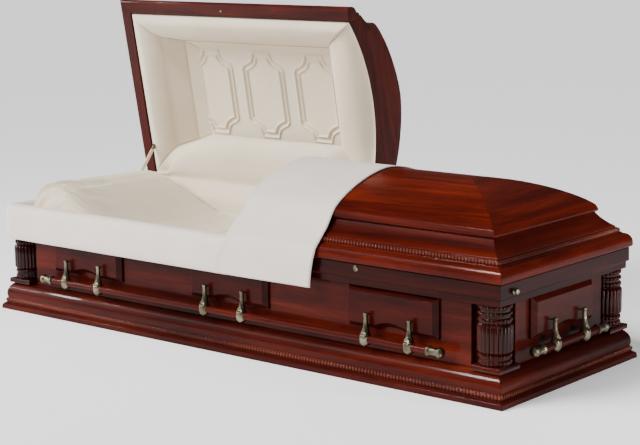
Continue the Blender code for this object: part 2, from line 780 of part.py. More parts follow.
def make_handles():
    pairs = [centre + side * ARM_SPREAD for centre in (-PANEL_X, 0.0, PANEL_X) for side in (-1, 1)]
    make_handle("front", FRONT_BAR_HALF, pairs, 0, HALF_W)
    make_handle("back", FRONT_BAR_HALF, pairs, 180, HALF_W)
    make_handle("foot", END_BAR_HALF, (-ARM_SPREAD, ARM_SPREAD), 90, HALF_L)
    make_handle("head", END_BAR_HALF, (-ARM_SPREAD, ARM_SPREAD), -90, HALF_L)


def make_stay():
    """A flat arm with round ends that props the head lid open."""
    outline = arc((0.0, 0.0), (STAY_HALF, STAY_HALF), 90, 270, 6)
    outline += arc((STAY_LENGTH, 0.0), (STAY_HALF * 1.4, STAY_HALF * 1.4), 270, 450, 8)
    x = -(HALF_L - RAIL_INNER - STAY_CLEAR)
    arm = board("stay_arm", outline, -STAY_T / 2, STAY_T / 2, PEWTER, normal="X")
    pivot = pivot_at("stay_pivot", (x + STAY_T / 2, STAY_Y, RAIL_TOP - STAY_DROP))
    arm.parent = pivot
    pivot.rotation_euler = (math.radians(STAY_DEG), 0.0, 0.0)


def make_lids():
    head_pieces = make_lid("head_lid", -1, SPLIT_X - SPLIT_HALF)
    header_face = SPLIT_X - SPLIT_HALF - HEADER_T - LINING_CLEAR
    sections = lid_lining_sections(-1, header_face)
    head_pieces.append(loft("head_lid_lining", sections, VELVET))
    foot_pieces = make_lid("foot_lid", 1, SPLIT_X + SPLIT_HALF)
    foot_pieces.append(make_throw())
    hinge_y = HALF_W - HINGE_INSET
    head_pivot = pivot_at("head_lid_hinge", (0.0, hinge_y, LID_Z))
    foot_pivot = pivot_at("foot_lid_hinge", (0.0, hinge_y, LID_Z))
    parent_to(head_pivot, head_pieces)
    parent_to(foot_pivot, foot_pieces)
    head_pivot.rotation_euler = (-math.radians(OPEN_DEG), 0.0, 0.0)


make_base()
make_walls()
make_columns()
make_panels()
make_rail()
make_soft_parts()
make_lids()
make_handles()
make_stay()
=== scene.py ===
"""Looks of the casket: gloss cherry wood, sewn velvet interior, cloth throw and antique handles."""
import math

import bmesh
import bpy
from mathutils import Matrix, Vector, noise


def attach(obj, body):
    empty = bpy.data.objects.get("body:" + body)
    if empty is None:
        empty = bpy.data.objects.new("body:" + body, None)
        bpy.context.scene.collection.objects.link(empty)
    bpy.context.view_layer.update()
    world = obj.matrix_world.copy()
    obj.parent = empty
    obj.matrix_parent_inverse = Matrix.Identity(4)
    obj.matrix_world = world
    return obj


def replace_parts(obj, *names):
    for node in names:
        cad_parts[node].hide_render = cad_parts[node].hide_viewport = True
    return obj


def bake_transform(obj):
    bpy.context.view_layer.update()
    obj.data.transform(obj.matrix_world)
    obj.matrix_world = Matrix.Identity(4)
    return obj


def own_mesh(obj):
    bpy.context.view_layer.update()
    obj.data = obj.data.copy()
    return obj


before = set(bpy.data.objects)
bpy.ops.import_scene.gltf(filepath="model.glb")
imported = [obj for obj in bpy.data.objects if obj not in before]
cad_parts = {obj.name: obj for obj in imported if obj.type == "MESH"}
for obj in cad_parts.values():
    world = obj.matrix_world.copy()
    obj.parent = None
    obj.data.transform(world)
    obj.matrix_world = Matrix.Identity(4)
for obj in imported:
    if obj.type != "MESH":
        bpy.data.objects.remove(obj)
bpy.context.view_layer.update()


def rotated(degrees, axis):
    return Matrix.Rotation(math.radians(degrees), 4, axis)


# Sizes in metres that the solids have too; +X is the foot end and -Y the front
HALF_L = 1.0650
HALF_W = 0.3725
BASE_BEAD = (0.0172, 0.0305)  # inset and height of a bead's middle
LID_BEAD = (0.0495, 0.4030)
LID_HEAD_X = 0.0360  # where each lid ends at the split
LID_FOOT_X = 0.0464
LID_Z = 0.3505
LID_INNER = 0.0655  # inset of the lids' inner faces
HINGE = Vector((0.0, 0.3580, LID_Z))
OPEN_DEG = 80.0
OPEN = Matrix.Translation(HINGE) @ rotated(-OPEN_DEG, "X") @ Matrix.Translation(-HINGE)
COLUMN_INSET = 0.0740
BAR_INSET = 0.0125
BAR_Z = 0.1300
BAR_R = 0.0120
FRONT_BAR_HALF = 0.8010
END_BAR_HALF = 0.1460
ARM_SPREAD = 0.0800
ARM_INSET = 0.0145
PANEL_X = 0.6530
CROWN_HALF = 0.2810
CROWN_LOW_Z = 0.4755
CROWN_RISE = 0.1045


def lerp(a, b, t):
    return a + (b - a) * t


def ease(t):
    """Smooth step from 0 to 1."""
    t = min(max(t, 0.0), 1.0)
    return t * t * (3 - 2 * t)


def table(points, at):
    """Value at a place in a list of (place, value) pairs, straight between them."""
    if at <= points[0][0]:
        return points[0][1]
    for (x0, y0), (x1, y1) in zip(points, points[1:]):
        if at <= x1:
            return lerp(y0, y1, (at - x0) / (x1 - x0))
    return points[-1][1]


def curve(points, count):
    """A smooth line of count points through the given ones, evenly spread by their index."""
    out = []
    last = len(points) - 1
    for i in range(count):
        t = i / (count - 1) * last
        k = min(int(t), last - 1)
        f = t - k
        p0, p1, p2, p3 = (points[max(min(k + s, last), 0)] for s in (-1, 0, 1, 2))
        out.append(tuple(0.5 * (2 * b + (c - a) * f + (2 * a - 5 * b + 4 * c - d) * f * f
                                + (3 * b - a - 3 * c + d) * f ** 3)
                         for a, b, c, d in zip(p0, p1, p2, p3)))
    return out


def waver(point, scale, seed=0.0):
    """Smooth noise at a point, between about -1 and 1."""
    return noise.noise(Vector(point) * scale + Vector((seed, seed * 1.7, seed * 0.3)))


# Materials
FIGURE_SCALE = (1.5, 17.0, 17.0)  # drawn out along the grain, like the two below
CLOUD_SCALE = (1.1, 3.0, 3.0)
PORE_SCALE = (16.0, 380.0, 380.0)
FIGURE_SHARE = 0.62
CHERRY = ((0.34, (0.014, 0.0012, 0.0007)), (0.47, (0.034, 0.0029, 0.0013)),
          (0.58, (0.062, 0.0057, 0.0022)), (0.70, (0.106, 0.0128, 0.0042)))
PORE_SHADES = ((0.30, (0.72, 0.72, 0.72)), (0.62, (1.06, 1.06, 1.06)))
PLAIN_TONE = (1.0, 1.0, 1.0)
ARRIS_R = 0.0035
ARRIS_SAMPLES = 6
LACQUER = 0.12
CLOTH_LOW = 0.955
CLOTH_HIGH = 1.03
WEAVE_SCALE = 1300.0
METAL_TONES = ((0.34, (0.100, 0.083, 0.050)), (0.50, (0.155, 0.133, 0.088)), (0.68, (0.25, 0.220, 0.157)))
METAL_ROUGHNESS = ((0.3, (0.42, 0.42, 0.42)), (0.7, (0.22, 0.22, 0.22)))
MIX_SOCKETS = {"VECTOR": (4, 5, 1), "RGBA": (6, 7, 2)}  # a mix node's two inputs and its output


def add(tree, kind, inputs=None, **settings):
    """A new node; an input is linked where a socket is given and set where a value is."""
    node = tree.nodes.new(kind)
    for name, value in settings.items():
        setattr(node, name, value)
    for key, value in (inputs or {}).items():
        if isinstance(value, bpy.types.NodeSocket):
            tree.links.new(value, node.inputs[key])
        else:
            node.inputs[key].default_value = value
    return node


def maths(tree, operation, a, b=0.0):
    return add(tree, "ShaderNodeMath", {0: a, 1: b}, operation=operation).outputs[0]


def stretched(tree, vector, scale):
    return add(tree, "ShaderNodeMapping", {"Vector": vector, "Scale": scale}).outputs[0]


def mix(tree, kind, factor, first, second, **settings):
    at_first, at_second, at_result = MIX_SOCKETS[kind]
    node = add(tree, "ShaderNodeMix", {"Factor": factor, at_first: first, at_second: second},
               data_type=kind, **settings)
    return node.outputs[at_result]


def noisy(tree, vector, scale, detail, rough, distortion=0.0):
    node = add(tree, "ShaderNodeTexNoise", {"Vector": vector, "Scale": scale, "Detail": detail,
                                            "Roughness": rough, "Distortion": distortion})
    return node.outputs[0]


def ramp(tree, factor, stops):
    node = add(tree, "ShaderNodeValToRGB", {"Fac": factor})
    elements = node.color_ramp.elements
    while len(elements) < len(stops):
        elements.new(0.5)
    for element, (at, colour) in zip(elements, stops):
        element.position = at
        element.color = (*colour, 1.0)
    return node.outputs[0]


def blank(name):
    material = bpy.data.materials.new(name)
    material.use_nodes = True
    tree = material.node_tree
    return material, tree, tree.nodes["Principled BSDF"]


def set_inputs(shader, values):
    for name, value in values.items():
        shader.inputs[name].default_value = value


def object_place(tree):
    return add(tree, "ShaderNodeTexCoord").outputs["Object"]


def bump(tree, shader, height, strength, distance, edge=0.0):
    """Relief on a shader; edge is the radius that the sharp arrises are shaded with."""
    node = add(tree, "ShaderNodeBump", {"Height": height, "Strength": strength, "Distance": distance})
    if edge:
        rounded = add(tree, "ShaderNodeBevel", {"Radius": edge}, samples=ARRIS_SAMPLES).outputs[0]
        tree.links.new(rounded, node.inputs["Normal"])
        tree.links.new(rounded, shader.inputs["Coat Normal"])
    tree.links.new(node.outputs[0], shader.inputs["Normal"])


def grain_vector(tree, along, turned_open):
    """Position with the grain along its X; "RING" turns it at the mitres of a frame."""
    place = object_place(tree)
    if turned_open:
        back = Matrix.Rotation(math.radians(OPEN_DEG), 3, "X")
        closing = {"Vector": place, "Location": HINGE - back @ HINGE,
                   "Rotation": (math.radians(OPEN_DEG), 0.0, 0.0)}
        place = add(tree, "ShaderNodeMapping", closing).outputs[0]
    if along == "X":
        return place
    x, y, z = add(tree, "ShaderNodeSeparateXYZ", {0: place}).outputs
    if along == "Z":
        return add(tree, "ShaderNodeCombineXYZ", {0: z, 1: x, 2: y}).outputs[0]
    swapped = add(tree, "ShaderNodeCombineXYZ", {0: y, 1: x, 2: z}).outputs[0]
    if along == "Y":
        return swapped
    past_end = maths(tree, "SUBTRACT", maths(tree, "ABSOLUTE", x), HALF_L)
    past_side = maths(tree, "SUBTRACT", maths(tree, "ABSOLUTE", y), HALF_W)
    on_end = maths(tree, "GREATER_THAN", past_end, past_side)
    return mix(tree, "VECTOR", on_end, place, swapped)


def wood(name, along, turned_open=False, tone=PLAIN_TONE, edge=ARRIS_R, coat=LACQUER):
    """Lacquered cherry: long figure, fine pores, a clear gloss coat and softly rounded arrises."""
    material, tree, shader = blank(name)
    place = grain_vector(tree, along, turned_open)
    figure = noisy(tree, stretched(tree, place, FIGURE_SCALE), scale=1.0, detail=6.0, rough=0.62,
                   distortion=0.9)
    cloud = noisy(tree, stretched(tree, place, CLOUD_SCALE), scale=1.3, detail=2.0, rough=0.5,
                  distortion=0.3)
    pores = noisy(tree, stretched(tree, place, PORE_SCALE), scale=1.0, detail=2.0, rough=0.6)
    mixed = maths(tree, "ADD", maths(tree, "MULTIPLY", figure, FIGURE_SHARE),
                  maths(tree, "MULTIPLY", cloud, 1 - FIGURE_SHARE))
    # A tone other than plain scales the cherry into the lighter and darker copies below: painted light and
    # shade
    stops = [(at, tuple(c * k for c, k in zip(shade, tone))) for at, shade in CHERRY]
    colour = mix(tree, "RGBA", 1.0, ramp(tree, mixed, stops), ramp(tree, pores, PORE_SHADES),
                 blend_type="MULTIPLY")
    tree.links.new(colour, shader.inputs["Base Color"])
    set_inputs(shader, {"Roughness": 0.34, "Specular IOR Level": 0.04, "Coat Weight": coat,
                        "Coat Roughness": 0.045, "Coat IOR": 1.52})
    bump(tree, shader, pores, strength=0.06, distance=0.0004, edge=edge)
    return material


def cloth(name, colour):
    """Fine crepe or short velvet with a soft sheen and slight colour variation."""
    material, tree, shader = blank(name)
    place = object_place(tree)
    soft = noisy(tree, place, scale=7.0, detail=3.0, rough=0.5)
    low = tuple(c * CLOTH_LOW for c in colour)
    high = tuple(min(c * CLOTH_HIGH, 1.0) for c in colour)
    tree.links.new(ramp(tree, soft, ((0.3, low), (0.7, high))), shader.inputs["Base Color"])
    set_inputs(shader, {"Roughness": 0.92, "Specular IOR Level": 0.15, "Sheen Weight": 0.25,
                        "Sheen Roughness": 0.5})
    fibres = noisy(tree, place, WEAVE_SCALE, detail=2.0, rough=0.6)
    bump(tree, shader, fibres, strength=0.25, distance=0.0006)
    return material


def metal(name):
    """Cast handle metal with brighter and duller patches and a fine grain."""
    material, tree, shader = blank(name)
    place = object_place(tree)
    patches = noisy(tree, place, scale=26.0, detail=3.0, rough=0.5)
    tree.links.new(ramp(tree, patches, METAL_TONES), shader.inputs["Base Color"])
    tree.links.new(ramp(tree, patches, METAL_ROUGHNESS), shader.inputs["Roughness"])
    set_inputs(shader, {"Metallic": 1.0})
    fine = noisy(tree, place, scale=420.0, detail=3.0, rough=0.6)
    bump(tree, shader, fine, strength=0.06, distance=0.0003)
    return material


WOOD_X = wood("cherry_lengthwise", "X")
WOOD_Y = wood("cherry_crosswise", "Y")
# Darker, less red copy of the cherry for the corner columns: painted shade
SHADED_COLUMN_WOOD = wood("cherry_upright_painted_shade", "Z", tone=(0.62, 0.68, 0.75), edge=0.0, coat=0.30)
WOOD_RING = wood("cherry_mitred", "RING")
# Lighter, redder copy of the cherry for the foot lid's moulding: painted light
LIT_MOULDING_WOOD = wood("cherry_moulding_painted_light", "RING", tone=(1.45, 1.25, 0.9))
WOOD_LID = wood("cherry_mitred_open", "RING", turned_open=True)
# Lighter copies of the cherry for the head lid's header board and both crowns: painted light
LIT_BOARD_WOOD = wood("cherry_board_open_painted_light", "Y", turned_open=True, tone=(1.50, 1.20, 0.8))
LIT_CROWN_WOOD = wood("cherry_crown_painted_light", "RING", tone=(1.55, 1.45, 1.1))
LIT_OPEN_CROWN_WOOD = wood("cherry_open_crown_painted_light", "RING", turned_open=True, tone=(1.60, 1.30, 0.8))
# Darker copy of the cherry for the top rail: painted shade, standing in for the shadow under the lid's
# overhang
SHADED_RAIL_WOOD = wood("cherry_rail_painted_shade", "RING", tone=(0.40, 0.34, 0.34))
# Darker copy of the cherry for the raised side panels: painted shade on these upright faces
SHADED_PANEL_WOOD = wood("cherry_panel", "X", tone=(0.62, 0.48, 0.48))
# Much lighter, paler copy of the cherry for the carved beads: painted highlights on their ticks
BEAD_HIGHLIGHT_TONE = (2.2, 5.4, 8.0)
HIGHLIT_BEAD_WOOD = wood("cherry_bead_painted_highlight", "RING", tone=BEAD_HIGHLIGHT_TONE, edge=0.0)
HIGHLIT_OPEN_BEAD_WOOD = wood("cherry_open_bead_painted_highlight", "RING", turned_open=True, tone=BEAD_HIGHLIGHT_TONE, edge=0.0)
IVORY = cloth("ivory_velvet", (0.655, 0.560, 0.425))
APRON = cloth("ivory_apron", (0.705, 0.605, 0.530))
THROW = cloth("throw_velvet", (0.635, 0.568, 0.505))
METAL = metal("antique_metal")


# Meshes
LOBED_FROM_R = 0.004
AXIS_R = 0.0001
TO_FRONT = rotated(90, "X")
TO_FOOT = rotated(90, "Y")
UPSIDE_DOWN = rotated(180, "X")


def in_scene(name, data):
    made = bpy.data.objects.new(name, data)
    bpy.context.scene.collection.objects.link(made)
    return made


def piece(name, verts, faces, look, body, slot, turn=None, sharp_deg=38.0, closed=False):
    """One named mesh, turned into its place, with its look and the body it rides on; its slot is not used."""
    mesh = bpy.data.meshes.new(name)
    mesh.from_pydata([tuple(v) for v in verts], [], faces)
    if closed:
        bm = bmesh.new()
        bm.from_mesh(mesh)
        bmesh.ops.recalc_face_normals(bm, faces=bm.faces)
        bm.to_mesh(mesh)
        bm.free()
    if turn is not None:
        mesh.transform(turn)
    mesh.materials.append(look)
    mesh.shade_smooth()
    mesh.set_sharp_from_angle(angle=math.radians(sharp_deg))
    made = in_scene(name, mesh)
    if body:
        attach(made, body)
    return made


def cast(name, shape, body, turn=None):
    """A closed piece of handle metal."""
    return piece(name, *shape, METAL, body, "antique_metal", turn=turn, closed=True)


def grid(rows, cols, ring=False, tube=False):
    """Faces between rows of points; a ring joins the last row to the first, a tube each row's ends."""
    faces = []
    for i in range(rows if ring else rows - 1):
        lower = i * cols
        upper = (i + 1) % rows * cols
        for j in range(cols if tube else cols - 1):
            k = (j + 1) % cols
            faces.append((lower + j, lower + k, upper + k, upper + j))
    return faces


def join(parts):
    """One list of verts and faces from several."""
    verts = []
    faces = []
    for some_verts, some_faces in parts:
        offset = len(verts)
        verts += some_verts
        faces += [tuple(i + offset for i in face) for face in some_faces]
    return verts, faces


def skin(rows, ring=False, tube=False, caps=False):
    """Verts and faces of equal rows of points."""
    cols = len(rows[0])
    faces = grid(len(rows), cols, ring, tube)
    if caps:
        faces.append(tuple(range(cols)))
        faces.append(tuple(range((len(rows) - 1) * cols, len(rows) * cols)))
    return [p for row in rows for p in row], faces


def capped(rows):
    """A closed tube through rows of points."""
    return skin(rows, tube=True, caps=True)


def turned(profile, sides, lobes=None):
    """A profile of (radius, height) about Z; lobes gives (count, depth) where the radius swells."""
    rows = []
    for radius, height in profile:
        row = []
        for i in range(sides):
            angle = 2 * math.pi * i / sides
            r = radius
            if lobes and radius > LOBED_FROM_R:
                r += lobes[1] * math.cos(lobes[0] * angle)
            row.append((r * math.cos(angle), r * math.sin(angle), height))
        rows.append(row)
    return capped(rows)


def rod(radius, low, high, sides):
    """A plain cylinder about Z."""
    return turned(((AXIS_R, low), (radius, low), (radius, high), (AXIS_R, high)), sides)


def thicken(made, thickness):
    """Gives a sheet its thickness, on the side away from its face."""
    thick = made.modifiers.new("Thickness", "SOLIDIFY")
    thick.thickness = thickness
    thick.offset = -1.0


def moved(part, matrix):
    verts, faces = part
    return [tuple(matrix @ Vector(v)) for v in verts], faces


# Carved beads along the mitred mouldings
BEAD_PITCH = 0.0120
BEAD_STEPS = ((0.00, 0.0030), (0.12, 0.0060), (0.28, 0.0077), (0.50, 0.0083), (0.72, 0.0077),
              (0.88, 0.0060))  # (share of the pitch, radius)
BEAD_SIDES = 8
BEAD_FROM_DEG = 95
BEAD_SWEEP_DEG = 170


def bead_run(bead, length, place):
    """Upright ovals along one side; place(t, inset, z) puts a point at a share t of the run."""
    inset, height = bead
    count = max(round(length / BEAD_PITCH), 1)
    rows = []
    for lobe in range(count):
        for share, radius in BEAD_STEPS:
            rows.append(((lobe + share) / count, radius))
    rows.append((1.0, BEAD_STEPS[0][1]))
    verts = []
    for t, radius in rows:
        row = []
        for k in range(BEAD_SIDES + 1):
            angle = math.radians(BEAD_FROM_DEG + BEAD_SWEEP_DEG * k / BEAD_SIDES)
            row.append(place(t, inset + radius * math.cos(angle), height + radius * math.sin(angle)))
        verts.append(row)
    return skin(verts)


def bead_ring(bead, low_x, high_x, sides):
    """Beads round the sides named: F front, B back, H head end, E foot end; None ends at a mitre."""
    parts = []
    for side in sides:
        if side in "FB":
            sy = -1 if side == "F" else 1
            length = (high_x or HALF_L) - (low_x or -HALF_L)

            def place(t, d, z, sy=sy):
                start = -(HALF_L - d) if low_x is None else low_x
                stop = HALF_L - d if high_x is None else high_x
                return (lerp(start, stop, t), sy * (HALF_W - d), z)
        else:
            sx = -1 if side == "H" else 1
            length = 2 * HALF_W

            def place(t, d, z, sx=sx):
                return (sx * (HALF_L - d), lerp(-(HALF_W - d), HALF_W - d, t), z)

        parts.append(bead_run(bead, length, place))
    return join(parts)


piece("base_bead", *bead_ring(BASE_BEAD, None, None, "FBHE"), HIGHLIT_BEAD_WOOD, "casket", "cherry")
piece("foot_lid_bead", *bead_ring(LID_BEAD, LID_FOOT_X, None, "FBE"), HIGHLIT_BEAD_WOOD, "foot_lid", "cherry")
piece("head_lid_bead", *bead_ring(LID_BEAD, None, LID_HEAD_X, "FBH"), HIGHLIT_OPEN_BEAD_WOOD, "head_lid", "cherry",
      turn=OPEN)


# Corner columns; a level is (height, kind, half width or radius, share of the reeds' depth)
REEDS = 18
REED_STEPS = 6
REED_DEPTH = 0.0040
NECK_R = 0.0425
RING_SWELL = 0.0062
RING_SHARES = (-1.0, -0.92, -0.62, -0.2, 0.2, 0.62, 0.92, 1.0)
AXIS_GAP = 0.0003
COLUMN_FROM_DEG = 180
COLUMN_SWEEP_DEG = 270
COLUMN_LEVELS = ((0.0937, "block", 0.0505, 0.0), (0.1075, "block", 0.0505, 0.0),
                 (0.1085, "block", 0.0495, 0.0), (0.1085, "round", NECK_R, 0.2))
COLUMN_RINGS = ((0.1100, 0.1260), (0.1295, 0.1430))
COLUMN_TOP_RINGS = ((0.2310, 0.2470), (0.2525, 0.2640), (0.2700, 0.2836))
SHAFT = (0.1450, 0.2290, 0.0513)
SHAFT_EDGE = ((0.0, 0.0075), (0.0035, 0.0020), (0.0080, 0.0))  # (distance from its end, how much thinner)


def ring_levels(low, high):
    middle = (low + high) / 2
    half = (high - low) / 2
    levels = []
    for share in RING_SHARES:
        bulge = math.sqrt(max(1 - share * share, 0.0))
        levels.append((middle + half * share, "round", NECK_R + RING_SWELL * bulge, 0.35 + 0.65 * bulge))
    return levels


def column_levels():
    levels = list(COLUMN_LEVELS)
    for low, high in COLUMN_RINGS:
        levels += ring_levels(low, high)
    low, high, radius = SHAFT
    levels += [(low + up, "round", radius - thinner, 1.0) for up, thinner in SHAFT_EDGE]
    levels += [(high - down, "round", radius - thinner, 1.0) for down, thinner in reversed(SHAFT_EDGE)]
    for low, high in COLUMN_TOP_RINGS:
        levels += ring_levels(low, high)
    return levels


def column(name, sx, sy, turn_deg):
    """Three quarters of a reeded column round a corner, on its square block."""
    centre = Vector((sx * (HALF_L - COLUMN_INSET), sy * (HALF_W - COLUMN_INSET), 0.0))
    turn = Matrix.Rotation(math.radians(turn_deg), 3, "Z")
    steps = REEDS * REED_STEPS
    rows = []
    for height, kind, size, depth in column_levels():
        row = [centre + turn @ Vector((AXIS_GAP, -AXIS_GAP, 0.0)) + Vector((0.0, 0.0, height))]
        for i in range(steps + 1):
            angle = math.radians(COLUMN_FROM_DEG + COLUMN_SWEEP_DEG * i / steps)
            if kind == "block":
                radius = size / max(abs(math.cos(angle)), abs(math.sin(angle)))
            else:
                share = (i % REED_STEPS) / REED_STEPS
                radius = size - REED_DEPTH * depth * (1 - math.sin(math.pi * share) ** 0.55)
            local = Vector((radius * math.cos(angle), radius * math.sin(angle), height))
            if i == 0:
                local.y = -AXIS_GAP
            if i == steps:
                local.x = AXIS_GAP
            row.append(centre + turn @ local)
        rows.append(row)
    made = piece(name, *capped(rows), SHADED_COLUMN_WOOD, "casket", "cherry", sharp_deg=50.0, closed=True)
    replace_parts(made, name.replace("carved_", ""))


column("carved_column_foot_front", 1, -1, 0)
column("carved_column_foot_back", 1, 1, 90)
column("carved_column_head_back", -1, 1, 180)
column("carved_column_head_front", -1, -1, 270)


# Handles
BAR_SIDES = 32
# (height, half width, how far the front stands out), from the pivot down to below the cuff
ARM_PROFILE = (
    (0.2092, 0.0052, 0.0052), (0.2088, 0.0062, 0.0068), (0.2046, 0.0065, 0.0074), (0.2020, 0.0063, 0.0072),
    (0.2004, 0.0054, 0.0058), (0.1930, 0.0053, 0.0057), (0.1830, 0.0058, 0.0060), (0.1750, 0.0067, 0.0065),
    (0.1690, 0.0079, 0.0072), (0.1630, 0.0094, 0.0082), (0.1575, 0.0111, 0.0096), (0.1530, 0.0125, 0.0112),
    (0.1495, 0.0138, 0.0130), (0.1462, 0.0147, 0.0152), (0.1440, 0.0152, 0.0166), (0.1420, 0.0157, 0.0178),
    (0.1390, 0.0162, 0.0188), (0.1300, 0.0164, 0.0193), (0.1210, 0.0162, 0.0186), (0.1172, 0.0154, 0.0170),
    (0.1138, 0.0118, 0.0146), (0.1105, 0.0074, 0.0118), (0.1082, 0.0034, 0.0096), (0.1075, 0.0008, 0.0084))
LEAF_TOP = 0.1780
LEAF_FOOT = 0.1440
LEAF_SPREAD = 0.74
CUFF_TOP = 0.1480
CUFF_FOOT = 0.1150
BACK_THIN = 0.0060
BACK_CUFF = 0.0145
BACK_FOOT = 0.0070
ARM_FRONT_STEPS = 12
ARM_BACK_STEPS = 6
# (radius, distance from the bar's end)
TIP = ((0.0001, -0.0005), (0.0148, -0.0005), (0.0157, 0.0006), (0.0157, 0.0088), (0.0148, 0.0100),
       (0.0134, 0.0106), (0.0130, 0.0130), (0.0127, 0.0200), (0.0127, 0.0290), (0.0132, 0.0345),
       (0.0136, 0.0362), (0.0150, 0.0372), (0.0160, 0.0395), (0.0162, 0.0440), (0.0156, 0.0480),
       (0.0148, 0.0494), (0.0132, 0.0500), (0.0128, 0.0512), (0.0112, 0.0538), (0.0080, 0.0556),
       (0.0040, 0.0562), (0.0001, 0.0562))
TIP_LOBES = (8, 0.0004)
POST_R = 0.0024
POST_FROM = -0.0092
POST_TO = -0.0014
POST_OUT = 0.0062
POST_Z = 0.2025
POST_SIDES = 16


def arm_back(z):
    """How far the arm's back lies behind its plane: thin in the stem, thick in the cuff on the bar."""
    if z > CUFF_TOP:
        return BACK_THIN
    if z > CUFF_FOOT:
        return lerp(BACK_THIN, BACK_CUFF, ease((CUFF_TOP - z) / 0.0120))
    return lerp(BACK_CUFF, BACK_FOOT, ease((CUFF_FOOT - z) / 0.0075))


def arm_part(u):
    """One cast arm at u along the bar; local -Y is outwards and the arm's own plane is y = 0."""
    rows = []
    for z, half, front in ARM_PROFILE:
        row = []
        for k in range(ARM_FRONT_STEPS + 1):
            s = -1 + 2 * k / ARM_FRONT_STEPS
            y = -front * (1 - 0.55 * abs(s) ** 3.2)
            if LEAF_FOOT < z < LEAF_TOP:
                edge = LEAF_SPREAD * ease((LEAF_TOP - z) / (LEAF_TOP - LEAF_FOOT))
                y -= 0.0024 * math.exp(-((abs(s) - edge) / 0.15) ** 2)
                if abs(s) < edge:
                    y += 0.0034 * ease((edge - abs(s)) / 0.30)
            row.append((u + half * s, y, z))
        for k in range(ARM_BACK_STEPS + 1):
            s = 1 - 2 * k / ARM_BACK_STEPS
            row.append((u + half * s * 0.96, arm_back(z) * (1 - 0.35 * abs(s) ** 3), z))
        rows.append(row)
    return capped(rows)


def handle(side, half, arm_places, heading_deg, reach):
    """Detailed bar, ferrules and arms of one handle, in place of its plain solids."""
    spot = rotated(heading_deg, "Z") @ Matrix.Translation((0.0, -reach, 0.0))
    body = side + "_handle"
    look = WOOD_X if side in ("front", "back") else WOOD_Y
    angles = [2 * math.pi * k / BAR_SIDES for k in range(BAR_SIDES)]
    rows = [[(x, BAR_INSET + BAR_R * math.cos(angle), BAR_Z + BAR_R * math.sin(angle)) for angle in angles]
            for x in (-half, -half / 3, half / 3, half)]
    bar = piece(side + "_handle_bar", *capped(rows), look, body, "cherry", turn=spot, closed=True)
    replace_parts(bar, side + "_bar")
    for label, sign in (("left", -1), ("right", 1)):
        place = spot @ Matrix.Translation((sign * half, BAR_INSET, BAR_Z)) @ rotated(90 * sign, "Y")
        tip = cast(f"{side}_ferrule_{label}", turned(TIP, BAR_SIDES, TIP_LOBES), body, place)
        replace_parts(tip, f"{side}_bar_tip_{label}")
    for number, u in enumerate(arm_places, start=1):
        shape = moved(arm_part(u), Matrix.Translation((0, ARM_INSET, 0)))
        arm = cast(f"{side}_cast_arm_{number}", shape, body, spot)
        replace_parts(arm, f"{side}_arm_{number}")
    lugs = []
    for u in arm_places:
        lie = Matrix.Translation((u, ARM_INSET + POST_OUT, POST_Z)) @ TO_FRONT
        lugs.append(moved(rod(POST_R, POST_FROM, POST_TO, POST_SIDES), lie))
    cast(side + "_handle_lugs", join(lugs), "casket", spot)


PAIRS = [centre + side * ARM_SPREAD for centre in (-PANEL_X, 0.0, PANEL_X) for side in (-1, 1)]
handle("front", FRONT_BAR_HALF, PAIRS, 0, HALF_W)
handle("back", FRONT_BAR_HALF, PAIRS, 180, HALF_W)
handle("foot", END_BAR_HALF, (-ARM_SPREAD, ARM_SPREAD), 90, HALF_L)
handle("head", END_BAR_HALF, (-ARM_SPREAD, ARM_SPREAD), -90, HALF_L)


# Lid linings, in the lid's closed place; pairs are (share of the way in, depth above the rim)
ROLL = ((0.000, 0.0140), (0.006, 0.0045), (0.090, 0.0018), (0.300, -0.0034), (0.520, 0.0040),
        (0.740, 0.0180), (0.900, 0.0320), (1.000, 0.0450))
FALL = ((0.00, 0.0450), (0.53, 0.0985), (0.55, 0.1020), (0.57, 0.0990), (1.00, 0.1200))
ROLL_STEPS = 24
ROLL_WIDTHS = {"far": 0.0920, "near": 0.1350, "front": 0.0935, "back": 0.1000}
FALL_STEPS = (0.12, 0.24, 0.36, 0.46, 0.53, 0.55, 0.57, 0.66, 0.78, 0.89, 1.0)
FALL_RUNS = {"far": (0.0650, 0.1175), "near": (0.0180, 0.0320), "front": (0.0235, 0.0555),
             "back": (0.0180, 0.0340)}  # how far in each side lies at its seam and at its foot
SEAM_SHARE = 0.55
STEPS_ALONG_X = 56
STEPS_ALONG_Y = 40
HEADER_EDGE = 0.0020
HEADER_INSIDE = 0.0220
TUCK = 0.0045
SAG = 0.0030
PANEL_DEPTH = 0.1195
ARCH_HALF = 0.3102
ARCH_RISE = 0.0800
ARCH_R = (ARCH_HALF ** 2 + ARCH_RISE ** 2) / (2 * ARCH_RISE)


def arch_depth(y):
    """How far the header board's arched edge lies inside the lid at y."""
    return ARCH_RISE - ARCH_R + math.sqrt(max(ARCH_R ** 2 - y * y, 0.0))


